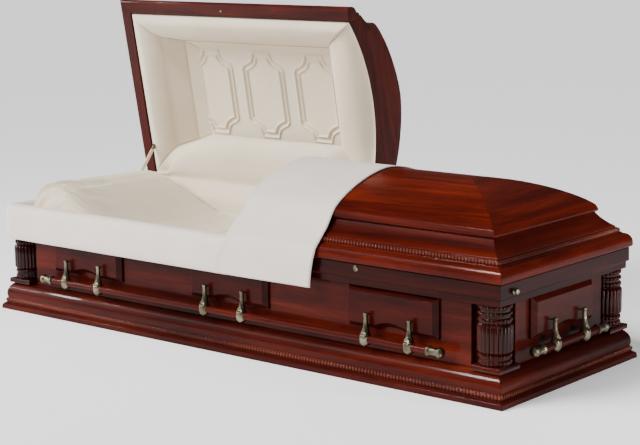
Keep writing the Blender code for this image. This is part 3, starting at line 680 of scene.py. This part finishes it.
def lid_lining(name, body, end, header_x, turn):
    """Four padded rolls with mitred corners that fall, past a seam, to a recessed panel."""
    steps = [(share, 0.0, depth) for share, depth in curve(ROLL, ROLL_STEPS)]
    steps += [(1.0, fall, table(FALL, fall)) for fall in FALL_STEPS]
    rows = []
    for share, fall, depth in steps:
        edge = {}
        for side, (to_seam, whole) in FALL_RUNS.items():
            run = table(((0.0, 0.0), (SEAM_SHARE, to_seam), (1.0, whole)), fall)
            edge[side] = ROLL_WIDTHS[side] * share + run
        x_far = end * (HALF_L - LID_INNER) - end * edge["far"]
        x_near = header_x + end * HEADER_EDGE + end * edge["near"]
        y_front = -(HALF_W - LID_INNER) + edge["front"]
        y_back = HALF_W - LID_INNER - edge["back"]
        corners = ((x_near, y_front), (x_far, y_front), (x_far, y_back), (x_near, y_back))
        loop = []
        for side in range(4):
            x0, y0 = corners[side]
            x1, y1 = corners[(side + 1) % 4]
            count = STEPS_ALONG_Y if side % 2 else STEPS_ALONG_X
            for i in range(count):
                t = (1 - math.cos(math.pi * i / count)) / 2
                x = lerp(x0, x1, t)
                y = lerp(y0, y1, t)
                d = depth
                if side == 3:
                    d += arch_depth(y) * (1 - share) ** 1.3
                d += TUCK * math.exp(-min(i, count - i) ** 2 / 1.6) * min(share * 3, 1.0)
                d += SAG * waver((x, y, depth), 9.0) * math.sin(math.pi * min(share, 1.0))
                if end * (x - header_x - end * HEADER_INSIDE) < 0:
                    d = min(d, arch_depth(y) - 0.0015)
                loop.append((x, y, LID_Z + d))
        rows.append(loop)
    return piece(name, *skin(rows, tube=True), IVORY, body, "velvet", turn=turn)


# The sewn panel's frames
FRAME_CENTRES = (-0.738, -0.4905, -0.243)
FRAME_Y = 0.004
FRAME_HALF = (0.0965, 0.157)
FRAME_CORNER = ((0.0, 0.062), (0.008, 0.050), (0.030, 0.041), (0.046, 0.031), (0.054, 0.016), (0.058, 0.0))
FRAME_REACH = 0.118
WELT_GAP = 0.0200
WELT_HALF = 0.0034
WELT_RISE = 0.0055
GROOVE_HALF = 0.0045
GROOVE_DEPTH = 0.0026
SEWN_X = (-0.800, -0.108)
SEWN_Y = (-0.172, 0.180)
SEWN_COLS = 300
SEWN_ROWS = 155
INNER_X = (0.16, 0.80)
INNER_Y = (-0.16, 0.18)
INNER_COLS = 24
INNER_ROWS = 12


def frame_outline(centre_x):
    """A sewn frame whose corners step in with an ogee."""
    half_x, half_y = FRAME_HALF
    quarter = [(half_x, 0.0)]
    quarter += [(half_x - dx, half_y - dy) for dx, dy in FRAME_CORNER]
    quarter.append((0.0, half_y))
    line = []
    for sx, sy in ((1, 1), (-1, 1), (-1, -1), (1, -1)):
        points = [(centre_x + sx * x, FRAME_Y + sy * y) for x, y in quarter]
        line += points if sx * sy > 0 else points[::-1]
    return line


def to_line(point, line):
    """Distance to a closed line, negative inside it."""
    px, py = point
    best = 1.0
    inside = False
    count = len(line)
    for i in range(count):
        ax, ay = line[i]
        bx, by = line[(i + 1) % count]
        dx = bx - ax
        dy = by - ay
        span = dx * dx + dy * dy
        t = 0.0 if span == 0 else min(max(((px - ax) * dx + (py - ay) * dy) / span, 0.0), 1.0)
        best = min(best, math.hypot(px - ax - dx * t, py - ay - dy * t))
        if (ay > py) != (by > py) and px < ax + (py - ay) * dx / dy:
            inside = not inside
    return -best if inside else best


def spread(ends, steps):
    """Even places from one end to the other."""
    return [lerp(*ends, i / steps) for i in range(steps + 1)]


def sewn_panel():
    """The sewn panel in the head lid: three upright frames, each of two welted lines."""
    frames = [(centre, frame_outline(centre)) for centre in FRAME_CENTRES]
    rows = []
    for y in spread(SEWN_Y, SEWN_ROWS):
        row = []
        for x in spread(SEWN_X, SEWN_COLS):
            depth = PANEL_DEPTH
            for centre, line in frames:
                if abs(x - centre) < FRAME_REACH:
                    d = to_line((x, y), line)
                    depth -= WELT_RISE * math.exp(-(d / WELT_HALF) ** 2)
                    depth -= WELT_RISE * math.exp(-((d + WELT_GAP) / WELT_HALF) ** 2)
                    depth += GROOVE_DEPTH * math.exp(-((d + WELT_GAP / 2) / GROOVE_HALF) ** 2)
            row.append((x, y, LID_Z + depth))
        rows.append(row)
    piece("head_lid_sewn_panel", *skin(rows), IVORY, "head_lid", "velvet", turn=OPEN)


head_lining = lid_lining("head_lid_padding", "head_lid", -1.0, LID_HEAD_X, OPEN)
sewn_panel()
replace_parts(head_lining, "head_lid_lining")
foot_lining = lid_lining("foot_lid_padding", "foot_lid", 1.0, LID_FOOT_X, None)
inner_rows = [[(x, y, LID_Z + PANEL_DEPTH) for x in spread(INNER_X, INNER_COLS)]
              for y in spread(INNER_Y, INNER_ROWS)]
piece("foot_lid_inner_panel", *skin(inner_rows), IVORY, "foot_lid", "velvet")


# Inside of the box; profiles are (distance outwards, height) and (share of the plan, height)
LINING_INSET = 0.0785
LINING_CORNER_R = 0.25
LINING_PROFILE = ((-0.0002, 0.094), (-0.0002, 0.290), (-0.002, 0.297), (-0.0075, 0.3000), (-0.013, 0.296),
                  (-0.0150, 0.285), (-0.0150, 0.200), (-0.0150, 0.094))
SHIRRED_FROM = -0.01
MATTRESS_INSET = 0.0955
MATTRESS_CORNER_R = 0.233
MATTRESS_PROFILE = ((1.0, 0.0945), (1.0, 0.215), (0.995, 0.235), (0.985, 0.247), (0.965, 0.2545),
                    (0.93, 0.259), (0.86, 0.262), (0.72, 0.2635), (0.5, 0.2645), (0.25, 0.265), (0.01, 0.265))


def rounded_rectangle(half_x, half_y, radius, corner_steps, side_steps):
    """Points round a rectangle with round corners, with their outward normals."""
    points = []
    corners = ((1, 1, 0), (-1, 1, 90), (-1, -1, 180), (1, -1, 270))
    for index, (sx, sy, start) in enumerate(corners):
        centre = (sx * (half_x - radius), sy * (half_y - radius))
        for i in range(corner_steps + 1):
            angle = math.radians(start + 90 * i / corner_steps)
            points.append((centre[0] + radius * math.cos(angle), centre[1] + radius * math.sin(angle),
                           math.cos(angle), math.sin(angle)))
        after = corners[(index + 1) % 4]
        first = points[-1]
        angle = math.radians(start + 90)
        target = (after[0] * (half_x - radius) + radius * math.cos(angle),
                  after[1] * (half_y - radius) + radius * math.sin(angle))
        for i in range(1, side_steps):
            t = i / side_steps
            points.append((lerp(first[0], target[0], t), lerp(first[1], target[1], t), first[2], first[3]))
    return points


def body_lining():
    """Shirred velvet round the inside of the box, a closed skin with a turned top."""
    plan = rounded_rectangle(HALF_L - LINING_INSET, HALF_W - LINING_INSET, LINING_CORNER_R,
                             corner_steps=24, side_steps=70)
    rows = []
    for number, (x, y, nx, ny) in enumerate(plan):
        ripple = 0.0016 * math.sin(number * 1.9) + 0.0012 * math.sin(number * 0.83 + 1.0)
        row = []
        for out, z in LINING_PROFILE:
            off = out + (ripple if out < SHIRRED_FROM else 0.0)
            row.append((x + nx * off, y + ny * off, z))
        rows.append(row)
    return piece("shirred_lining", *skin(rows, ring=True, tube=True), IVORY, "casket", "velvet", closed=True)


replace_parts(body_lining(), "body_lining")


def bed():
    """The mattress under its cover, crowned between its edges."""
    plan = rounded_rectangle(HALF_L - MATTRESS_INSET, HALF_W - MATTRESS_INSET, MATTRESS_CORNER_R,
                             corner_steps=16, side_steps=48)
    rows = [[(x * share, y * share, z) for x, y, _, _ in plan] for share, z in MATTRESS_PROFILE]
    made = piece("bed_mattress", *capped(rows), IVORY, "casket", "velvet", closed=True)
    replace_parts(made, "mattress")


bed()


# Pillow
PILLOW_LOW = 0.2680
PILLOW_X = (-0.9835, -0.450)
PILLOW_HALF_W = 0.285
PILLOW_EDGE_Y = 0.286
PILLOW_COLS = 110
PILLOW_ROWS = 90
PILLOW_CREST = ((-0.285, 0.428), (-0.200, 0.437), (0.000, 0.438), (0.285, 0.430))  # (y, height)
PILLOW_ALONG = ((-0.984, 0.66), (-0.980, 0.82), (-0.972, 0.91), (-0.960, 0.965), (-0.945, 0.99),
                (-0.925, 1.0), (-0.890, 0.985), (-0.840, 0.90), (-0.780, 0.74), (-0.720, 0.56),
                (-0.660, 0.38), (-0.600, 0.22), (-0.540, 0.10), (-0.480, 0.02), (-0.450, 0.0))
PILLOW_UNDER = (0.985, 0.965)  # how much shorter and narrower its underside is
PILLOW_UNDER_Z = 0.2600
PILLOW_UNEVEN = 0.0040
GATHER_CORNER = (-0.985, -0.285)
GATHER_CENTRE = (-1.000, -0.300)
GATHER_REACH = 0.17
GATHER_FROM = 0.03
GATHER_WIDE = 0.0130
GATHER_NARROW = 0.0110


def pillow_height(x, y):
    """Top of the wedge pillow: its crest near the head, with drawn corners."""
    shift = 0.010 * ease((y - 0.10) / 0.185) * ease((x + 0.93) / 0.2)
    along = table(PILLOW_ALONG, x + shift)
    side = 1 - abs(y / PILLOW_EDGE_Y) ** 20
    return PILLOW_LOW + (table(PILLOW_CREST, y) - PILLOW_LOW) * along * max(side, 0.0) ** 0.38


def gathers(x, y):
    """Folds that run out from the pillow's front corner at the head."""
    to_corner = math.hypot(x - GATHER_CORNER[0], (y - GATHER_CORNER[1]) * 0.8)
    turn = math.atan2(y - GATHER_CENTRE[1], x - GATHER_CENTRE[0])
    strength = math.exp(-(to_corner / GATHER_REACH) ** 2) * min(to_corner / GATHER_FROM, 1.0)
    wide = math.sin(19 * turn + 4.0 * waver((x, y, 0.0), 7.0))
    narrow = math.sin(27 * turn + 5.0 * waver((x, y, 0.0), 11.0)) ** 4
    return strength * (GATHER_WIDE * wide - GATHER_NARROW * narrow)


def make_pillow():
    xs = [lerp(*PILLOW_X, (i / PILLOW_COLS) ** 1.25) for i in range(PILLOW_COLS + 1)]
    shares = [(1 - math.cos(math.pi * j / PILLOW_ROWS)) / 2 for j in range(PILLOW_ROWS + 1)]
    rows = []
    for y in [lerp(-PILLOW_HALF_W, PILLOW_HALF_W, share) for share in shares]:
        row = []
        for x in xs:
            uneven = PILLOW_UNEVEN * waver((x, y, 0.0), 5.0, 3.0)
            z = pillow_height(x, y) + gathers(x, y) + uneven
            row.append((x, y, max(z, PILLOW_LOW - 0.0020)))
        rows.append(row)
    verts, faces = skin(rows)
    base = len(verts)
    wide = len(xs)
    deep = len(rows)
    edge = [j * wide for j in range(deep)]
    edge += [(deep - 1) * wide + i for i in range(1, wide)]
    edge += [j * wide + wide - 1 for j in range(deep - 2, -1, -1)]
    edge += list(range(wide - 2, 0, -1))
    for number in edge:
        x, y, _ = verts[number]
        verts.append((x * PILLOW_UNDER[0], y * PILLOW_UNDER[1], PILLOW_UNDER_Z))
    count = len(edge)
    for k in range(count):
        faces.append((edge[k], edge[(k + 1) % count], base + (k + 1) % count, base + k))
    faces.append(tuple(range(base, base + count)))
    made = piece("wedge_pillow", verts, faces, IVORY, "casket", "velvet", closed=True, sharp_deg=60.0)
    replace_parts(made, "pillow")
    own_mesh(made)


make_pillow()


# Cloth over the rim; the profile is (inset from the side, height)
APRON_PROFILE = ((0.0225, 0.2545), (0.0180, 0.2525), (0.0140, 0.2530), (0.0118, 0.2560), (0.0108, 0.2800),
                 (0.0100, 0.3100), (0.0102, 0.3350), (0.0118, 0.3520), (0.0160, 0.3650), (0.0250, 0.3725),
                 (0.0400, 0.3745), (0.0560, 0.3720), (0.0690, 0.3640), (0.0775, 0.3530), (0.0830, 0.3390),
                 (0.0855, 0.3220), (0.0850, 0.3060), (0.0815, 0.3040), (0.0772, 0.3060), (0.0762, 0.3300),
                 (0.0755, 0.3480), (0.0700, 0.3495), (0.0400, 0.3495), (0.0235, 0.3495), (0.0215, 0.3460),
                 (0.0215, 0.3000))
APRON_CORNER_R = 0.045
APRON_FRONT_END = 0.020
APRON_SIDE_END = 0.170
APRON_FRONT_STEPS = 70
APRON_CORNER_STEPS = 12
APRON_SIDE_STEPS = 30
APRON_INNER_SHARE = 0.25


def make_apron():
    """The padded apron, from under the throw round the front corner to the hinge side."""
    corner_x = -(HALF_L - APRON_CORNER_R)
    corner_y = -(HALF_W - APRON_CORNER_R)
    stations = [("front", x) for x in spread((APRON_FRONT_END, corner_x), APRON_FRONT_STEPS)]
    stations += [("corner", math.radians(90 * i / APRON_CORNER_STEPS)) for i in range(1, APRON_CORNER_STEPS)]
    stations += [("end", y) for y in spread((corner_y, APRON_SIDE_END), APRON_SIDE_STEPS)]
    rows = []
    for kind, at in stations:
        row = []
        for d, z in APRON_PROFILE:
            if kind == "front":
                p = Vector((at, -(HALF_W - d), z))
                n = Vector((0.0, -1.0, 0.0))
            elif kind == "end":
                p = Vector((-(HALF_L - d), at, z))
                n = Vector((-1.0, 0.0, 0.0))
            else:
                n = Vector((-math.sin(at), -math.cos(at), 0.0))
                p = Vector((corner_x, corner_y, z)) + n * (APRON_CORNER_R - d)
            fade = ease((APRON_FRONT_END - p.x) / 0.02 + 0.3)
            soft = waver((p.x, p.y, p.z * 0.5), 6.0, 2.0) * 0.0030 + waver((p.x, p.y, p.z), 17.0) * 0.0010
            outer = d < 0.080 and z > 0.256 and (d < 0.02 or z > 0.352)
            soft *= 1.0 if outer else APRON_INNER_SHARE
            row.append(p + n * soft * 0.6 + Vector((0.0, 0.0, soft * 0.5 * fade)))
        rows.append(row)
    made = piece("padded_apron", *capped(rows), APRON, "casket", "velvet", closed=True, sharp_deg=60.0)
    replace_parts(made, "extendover")
    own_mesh(made)


make_apron()


# Throw; points are (y, height)
THROW_LIFT = 0.0035
THROW_FRONT = ((-0.3725, 0.2590), (-0.3722, 0.2900), (-0.3716, 0.3250), (-0.3690, 0.3580), (-0.3610, 0.3830),
               (-0.3440, 0.4010), (-0.3270, 0.4180), (-0.3080, 0.4390), (-0.2930, 0.4600), (-0.2790, 0.4800))
THROW_CROWN_STEPS = 12
THROW_BACK_SHORT = 4
THROW_LENGTH_STEPS = 150
THROW_COLS = 34
THROW_LEFT = 0.0400
THROW_RIGHT = 0.3900
THROW_RIGHT_LOW = 0.3700
HANG_Z = 0.380  # below it the front hangs free and its left edge lies nearer the head end
HANG_SHIFT = 0.0420
SLIP_Z = 0.460  # below it the left edge starts to slip that way, over the bead
SLIP_SHIFT = 0.0140
THROW_THICK = 0.0024
TURN_IN_STEPS = 4
TURN_IN_FROM = 0.0380
TURN_IN_TO = 0.0060


def crown_height(t):
    """Height of the foot lid's crown at a distance t in from its edge."""
    share = min(max(t / CROWN_HALF, 0.0), 1.0)
    return CROWN_LOW_Z + CROWN_RISE * (1 - (1 - share) ** 1.65) ** 0.775


def throw_line():
    """The cloth's middle line over the foot lid, from the front hem to the far edge."""
    half = list(THROW_FRONT)
    for i in range(1, THROW_CROWN_STEPS + 1):
        t = CROWN_HALF * (i / THROW_CROWN_STEPS) ** 1.25
        half.append((-(CROWN_HALF - t), crown_height(t) + THROW_LIFT))
    back = [(-y, z) for y, z in reversed(half[:-1])]
    return half + back[:-THROW_BACK_SHORT]


def make_throw():
    """A sheet laid over the foot lid; its head edge turns in over the header board."""
    line = curve(throw_line(), THROW_LENGTH_STEPS)
    length = sum(math.hypot(b[0] - a[0], b[1] - a[1]) for a, b in zip(line, line[1:]))
    rows = []
    for k, (y, z) in enumerate(line):
        before = line[max(k - 1, 0)]
        after = line[min(k + 1, len(line) - 1)]
        run = Vector((after[0] - before[0], after[1] - before[1])).normalized()
        normal = Vector((-run.y, run.x))
        hang = ease((HANG_Z - z) / 0.10) if y < 0 else 0.0
        slip = ease((SLIP_Z - z) / 0.05) if y < 0 else 0.0
        left = THROW_LEFT - SLIP_SHIFT * slip - HANG_SHIFT * hang
        right = lerp(THROW_RIGHT, THROW_RIGHT_LOW, ease((0.40 - z) / 0.14) if y < 0 else 0.0)
        arch = ease((z - 0.470) / 0.02)
        row = []
        for j in range(TURN_IN_STEPS):
            depth = lerp(TURN_IN_FROM, TURN_IN_TO, j / (TURN_IN_STEPS - 1)) * arch
            row.append((left + 0.0022 * arch + 0.0005, y - normal.x * depth, z - normal.y * depth))
        row.append((left + 0.0004, y - normal.x * 0.0022, z - normal.y * 0.0022))
        for j in range(THROW_COLS):
            t = j / (THROW_COLS - 1)
            x = lerp(left, right, t)
            fold = 0.0022 * hang * math.sin(9.0 * x + 1.0) + 0.0016 * waver((x, y, z), 5.0, 4.0)
            off = fold * (0.4 + 0.6 * hang) + 0.0012 + 0.0016 * math.exp(-(t / 0.03) ** 2)
            row.append((x, y + normal.x * off, z + normal.y * off))
        rows.append(row)
    made = piece("cloth_throw", *skin(rows), THROW, "foot_lid", "throw_cloth", sharp_deg=70.0)
    thicken(made, THROW_THICK)
    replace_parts(made, "throw")


make_throw()


# The drape's crest in the lid's closed place: (x, y)
CREST = ((-0.985, 0.298), (-0.922, 0.290), (-0.912, 0.268), (-0.898, 0.240), (-0.868, 0.212), (-0.822, 0.189),
         (-0.760, 0.170), (-0.685, 0.158), (-0.5465, 0.149), (-0.070, 0.145), (0.012, 0.145))
# Where it comes down inside the box: (y, height)
DRAPE_BOX = ((0.3210, 0.3790), (0.3030, 0.3600), (0.2915, 0.3460), (0.2870, 0.3250), (0.2855, 0.2950))
DRAPE_X = (-0.985, 0.012)
DRAPE_COLS = 120
DRAPE_ROWS = 44
DRAPE_THICK = 0.0015
HINGE_SIDE_Y = 0.3080
DRAPE_SINK = 0.055


def lid_path(crest):
    """The drape on the closed lid's lower roll: (y, depth above the rim), from its crest to the hinge."""
    left = (0.302 - crest) / 0.157
    return ((crest + 0.010, 0.080), (crest + 0.002, 0.050), (crest, 0.030), (crest + 0.012 * left, 0.010),
            (crest + 0.040 * left, -0.0065), (crest + 0.080 * left, -0.0140),
            (crest + 0.125 * left, -0.0165), (HINGE_SIDE_Y, -0.0130))


def make_drape():
    """Velvet from the lid's lower roll over the hinge line and down inside the box."""
    rows = [[] for _ in range(DRAPE_ROWS)]
    for i in range(DRAPE_COLS):
        x = lerp(*DRAPE_X, (i / (DRAPE_COLS - 1)) ** 1.3)
        sunk = DRAPE_SINK * ease((x + 0.140) / 0.140)
        points = []
        for y, d in lid_path(table(CREST, x)):
            low = sunk * min((HINGE_SIDE_Y - y) / 0.05, 1.0)
            point = OPEN @ Vector((0.0, y, LID_Z + d + low))
            points.append((point.y, point.z))
        points += DRAPE_BOX
        for row, (y, z) in zip(rows, curve(points, DRAPE_ROWS)):
            row.append((x, y - 0.0010 + 0.0020 * waver((x, y, z), 7.0, 5.0), z))
    made = piece("hinge_drape", *skin(rows), IVORY, None, "velvet", sharp_deg=70.0)
    thicken(made, DRAPE_THICK)
    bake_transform(made)


make_drape()


# Small metal; the turned profiles are (radius, height)
STAY_FOOT = Vector((-0.984, 0.197, 0.345))
STAY_DEG = 51.5
STAY_LONG = 0.202
STAY_STEPS = 20
STAY_HALF_THICK = 0.0026
EYE_PLACES = (0.0, 0.206)
EYE_SIDES = 20
EYE = ((0.0001, -0.0042), (0.0070, -0.0042), (0.0086, -0.0030), (0.0086, 0.0030), (0.0070, 0.0042),
       (0.0001, 0.0042))
SLEEVE = ((0.012, 0.0056), (0.020, 0.0074), (0.060, 0.0080), (0.110, 0.0072), (0.160, 0.0080),
          (0.186, 0.0074), (0.192, 0.0056))  # (distance along the stay, half height)
SLEEVE_HALF_THICK = 0.0042
SLEEVE_SIDES = 16
LOCK_KNOB = ((0.0001, -0.001), (0.0105, -0.001), (0.0110, 0.002), (0.0085, 0.0045), (0.0070, 0.0060),
             (0.0078, 0.0085), (0.0090, 0.0105), (0.0084, 0.0130), (0.0050, 0.0148), (0.0001, 0.0150))
ESCUTCHEON = ((0.0001, -0.001), (0.0085, -0.001), (0.0088, 0.0010), (0.0072, 0.0022), (0.0052, 0.0016),
              (0.0048, 0.0002), (0.0001, 0.0002))
CATCH = ((0.0001, -0.001), (0.0048, -0.001), (0.0048, 0.0004), (0.0040, 0.0008), (0.0001, 0.0008))
KNOB_SIDES = 28
BARREL_R = 0.0026
BARREL_SIDES = 14
BARRELS = ((-0.86, -0.78), (-0.10, -0.02), (0.12, 0.20), (0.86, 0.94))


def stay():
    """The cast arm that props the lid, with a round eye at each end, in its velvet sleeve."""
    along = Matrix.Translation(STAY_FOOT) @ rotated(STAY_DEG, "X")
    rows = []
    for i in range(STAY_STEPS + 1):
        t = i / STAY_STEPS
        half = 0.0048 + 0.0008 * math.cos(2 * math.pi * t)
        y = STAY_LONG * t
        rows.append([(sx * STAY_HALF_THICK, y, sz * half) for sx, sz in ((-1, -1), (1, -1), (1, 1), (-1, 1))])
    shapes = [capped(rows)]
    shapes += [moved(turned(EYE, EYE_SIDES), Matrix.Translation((0, y, 0)) @ TO_FOOT) for y in EYE_PLACES]
    made = cast("cast_stay", join(shapes), "stay", along)
    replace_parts(made, "stay_arm")
    angles = [2 * math.pi * k / SLEEVE_SIDES for k in range(SLEEVE_SIDES)]
    sleeve = [[(SLEEVE_HALF_THICK * math.cos(angle), y, half * math.sin(angle)) for angle in angles]
              for y, half in SLEEVE]
    piece("stay_sleeve", *capped(sleeve), IVORY, "stay", "velvet", turn=along, closed=True)


def knob(name, profile, place, body):
    cast(name, turned(profile, KNOB_SIDES), body, place)


def hinge_barrels():
    """Barrels of the lid hinges along the back edge."""
    on_hinge = Matrix.Translation((0, HINGE.y, HINGE.z)) @ TO_FOOT
    barrels = [moved(rod(BARREL_R, start, stop, BARREL_SIDES), on_hinge) for start, stop in BARRELS]
    cast("hinge_barrels", join(barrels), "casket")


stay()
knob("lock_knob", LOCK_KNOB, Matrix.Translation((1.0425, -0.281, 0.322)) @ TO_FOOT, "casket")
knob("key_escutcheon", ESCUTCHEON, Matrix.Translation((0.531, -0.3502, 0.335)) @ TO_FRONT, "casket")
knob("lid_catch", CATCH, OPEN @ Matrix.Translation((-0.543, -0.330, LID_Z)) @ UPSIDE_DOWN, "head_lid")
hinge_barrels()


# Looks of the solids that stay; the rail, crowns, foot lid moulding, header board and side panels get the
# cherry copies with painted light and shade
LOOKS = {"base_moulding": WOOD_RING, "top_rail": SHADED_RAIL_WOOD, "foot_lid_moulding": LIT_MOULDING_WOOD,
         "foot_lid_crown": LIT_CROWN_WOOD, "head_lid_moulding": WOOD_LID, "head_lid_crown": LIT_OPEN_CROWN_WOOD,
         "head_lid_header": LIT_BOARD_WOOD, "foot_lid_header": WOOD_Y, "head_wall": WOOD_Y, "foot_wall": WOOD_Y,
         "head_panel": WOOD_Y, "foot_panel": WOOD_Y}
for name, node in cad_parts.items():
    if node.type == "MESH":
        look = LOOKS.get(name, SHADED_PANEL_WOOD if "_panel_" in name else WOOD_X)
        if not node.material_slots:
            node.data.materials.append(look)
        for place in node.material_slots:
            place.material = look


# Camera, lights and floor
CAMERA_AT = Vector((3.652, -4.226, 1.369))
YAW_DEG = -40.03
PITCH_DEG = 10.2
ROLL_DEG = -0.74
FOCAL_PX = 1726.3
FRAME_PX = 640


def camera():
    yaw = math.radians(YAW_DEG)
    pitch = math.radians(PITCH_DEG)
    roll = math.radians(ROLL_DEG)
    ahead = Vector((math.sin(yaw) * math.cos(pitch), math.cos(yaw) * math.cos(pitch), -math.sin(pitch)))
    level = Vector((math.cos(yaw), -math.sin(yaw), 0.0))
    upward = level.cross(ahead)
    right = level * math.cos(roll) + upward * math.sin(roll)
    up = upward * math.cos(roll) - level * math.sin(roll)
    data = bpy.data.cameras.new("camera")
    data.sensor_width = 36.0
    data.lens = FOCAL_PX / FRAME_PX * data.sensor_width
    data.clip_end = 100.0
    made = in_scene("camera", data)
    made.matrix_world = Matrix.Translation(CAMERA_AT) @ Matrix((right, up, -ahead)).transposed().to_4x4()
    bpy.context.scene.camera = made


AIM = (0.0, 0.0, 0.3)
SKY = 0.11
FLOOR_HALF = 30.0
FLOOR_DROP = 0.0005
FLOOR_GLOW = 0.24
WHITE = (1.0, 1.0, 1.0, 1.0)


def lamp(name, kind, power, heading):
    data = bpy.data.lights.new(name, kind)
    data.energy = power
    made = in_scene(name, data)
    made.rotation_euler = Vector(heading).to_track_quat("-Z", "Y").to_euler()
    return made


def softbox(name, at, target, size, power):
    made = lamp(name, "AREA", power, Vector(target) - Vector(at))
    made.location = at
    made.data.shape = "RECTANGLE"
    made.data.size, made.data.size_y = size


def sun(name, strength, angle_deg, heading):
    made = lamp(name, "SUN", strength, heading)
    made.data.angle = math.radians(angle_deg)
    return made


camera()
world = bpy.data.worlds.new("studio")
world.use_nodes = True
sky = world.node_tree.nodes["Background"]
sky.inputs["Color"].default_value = WHITE
sky.inputs["Strength"].default_value = SKY
bpy.context.scene.world = world
sun("key", strength=5.5, angle_deg=33.0, heading=(0.50, 0.64, -0.62)).visible_glossy = False
sun("gleam", strength=1.35, angle_deg=5.6, heading=(0.545, 0.528, -0.650)).visible_diffuse = False
softbox("overhead", (0.2, -1.7, 4.2), target=AIM, size=(3.2, 0.10), power=75)
softbox("front", (-0.5, -4.6, 1.9), target=AIM, size=(2.6, 0.05), power=42)
softbox("left", (-3.4, -2.0, 1.4), target=AIM, size=(0.12, 1.8), power=75)
softbox("right", (3.0, 0.4, 0.6), target=(1.0, 0.0, 0.25), size=(0.15, 1.0), power=33)

floor_mesh = bpy.data.meshes.new("floor")
floor_corners = [(sx * FLOOR_HALF, sy * FLOOR_HALF, 0) for sx, sy in ((-1, -1), (1, -1), (1, 1), (-1, 1))]
floor_mesh.from_pydata(floor_corners, [], [(0, 1, 2, 3)])
floor = in_scene("floor", floor_mesh)
floor.location = (0.0, 0.0, -FLOOR_DROP)
pale, _, pale_shader = blank("pale_floor")
set_inputs(pale_shader, {"Base Color": (0.92, 0.92, 0.92, 1.0), "Roughness": 0.85,
                         "Emission Color": WHITE, "Emission Strength": FLOOR_GLOW})
floor_mesh.materials.append(pale)
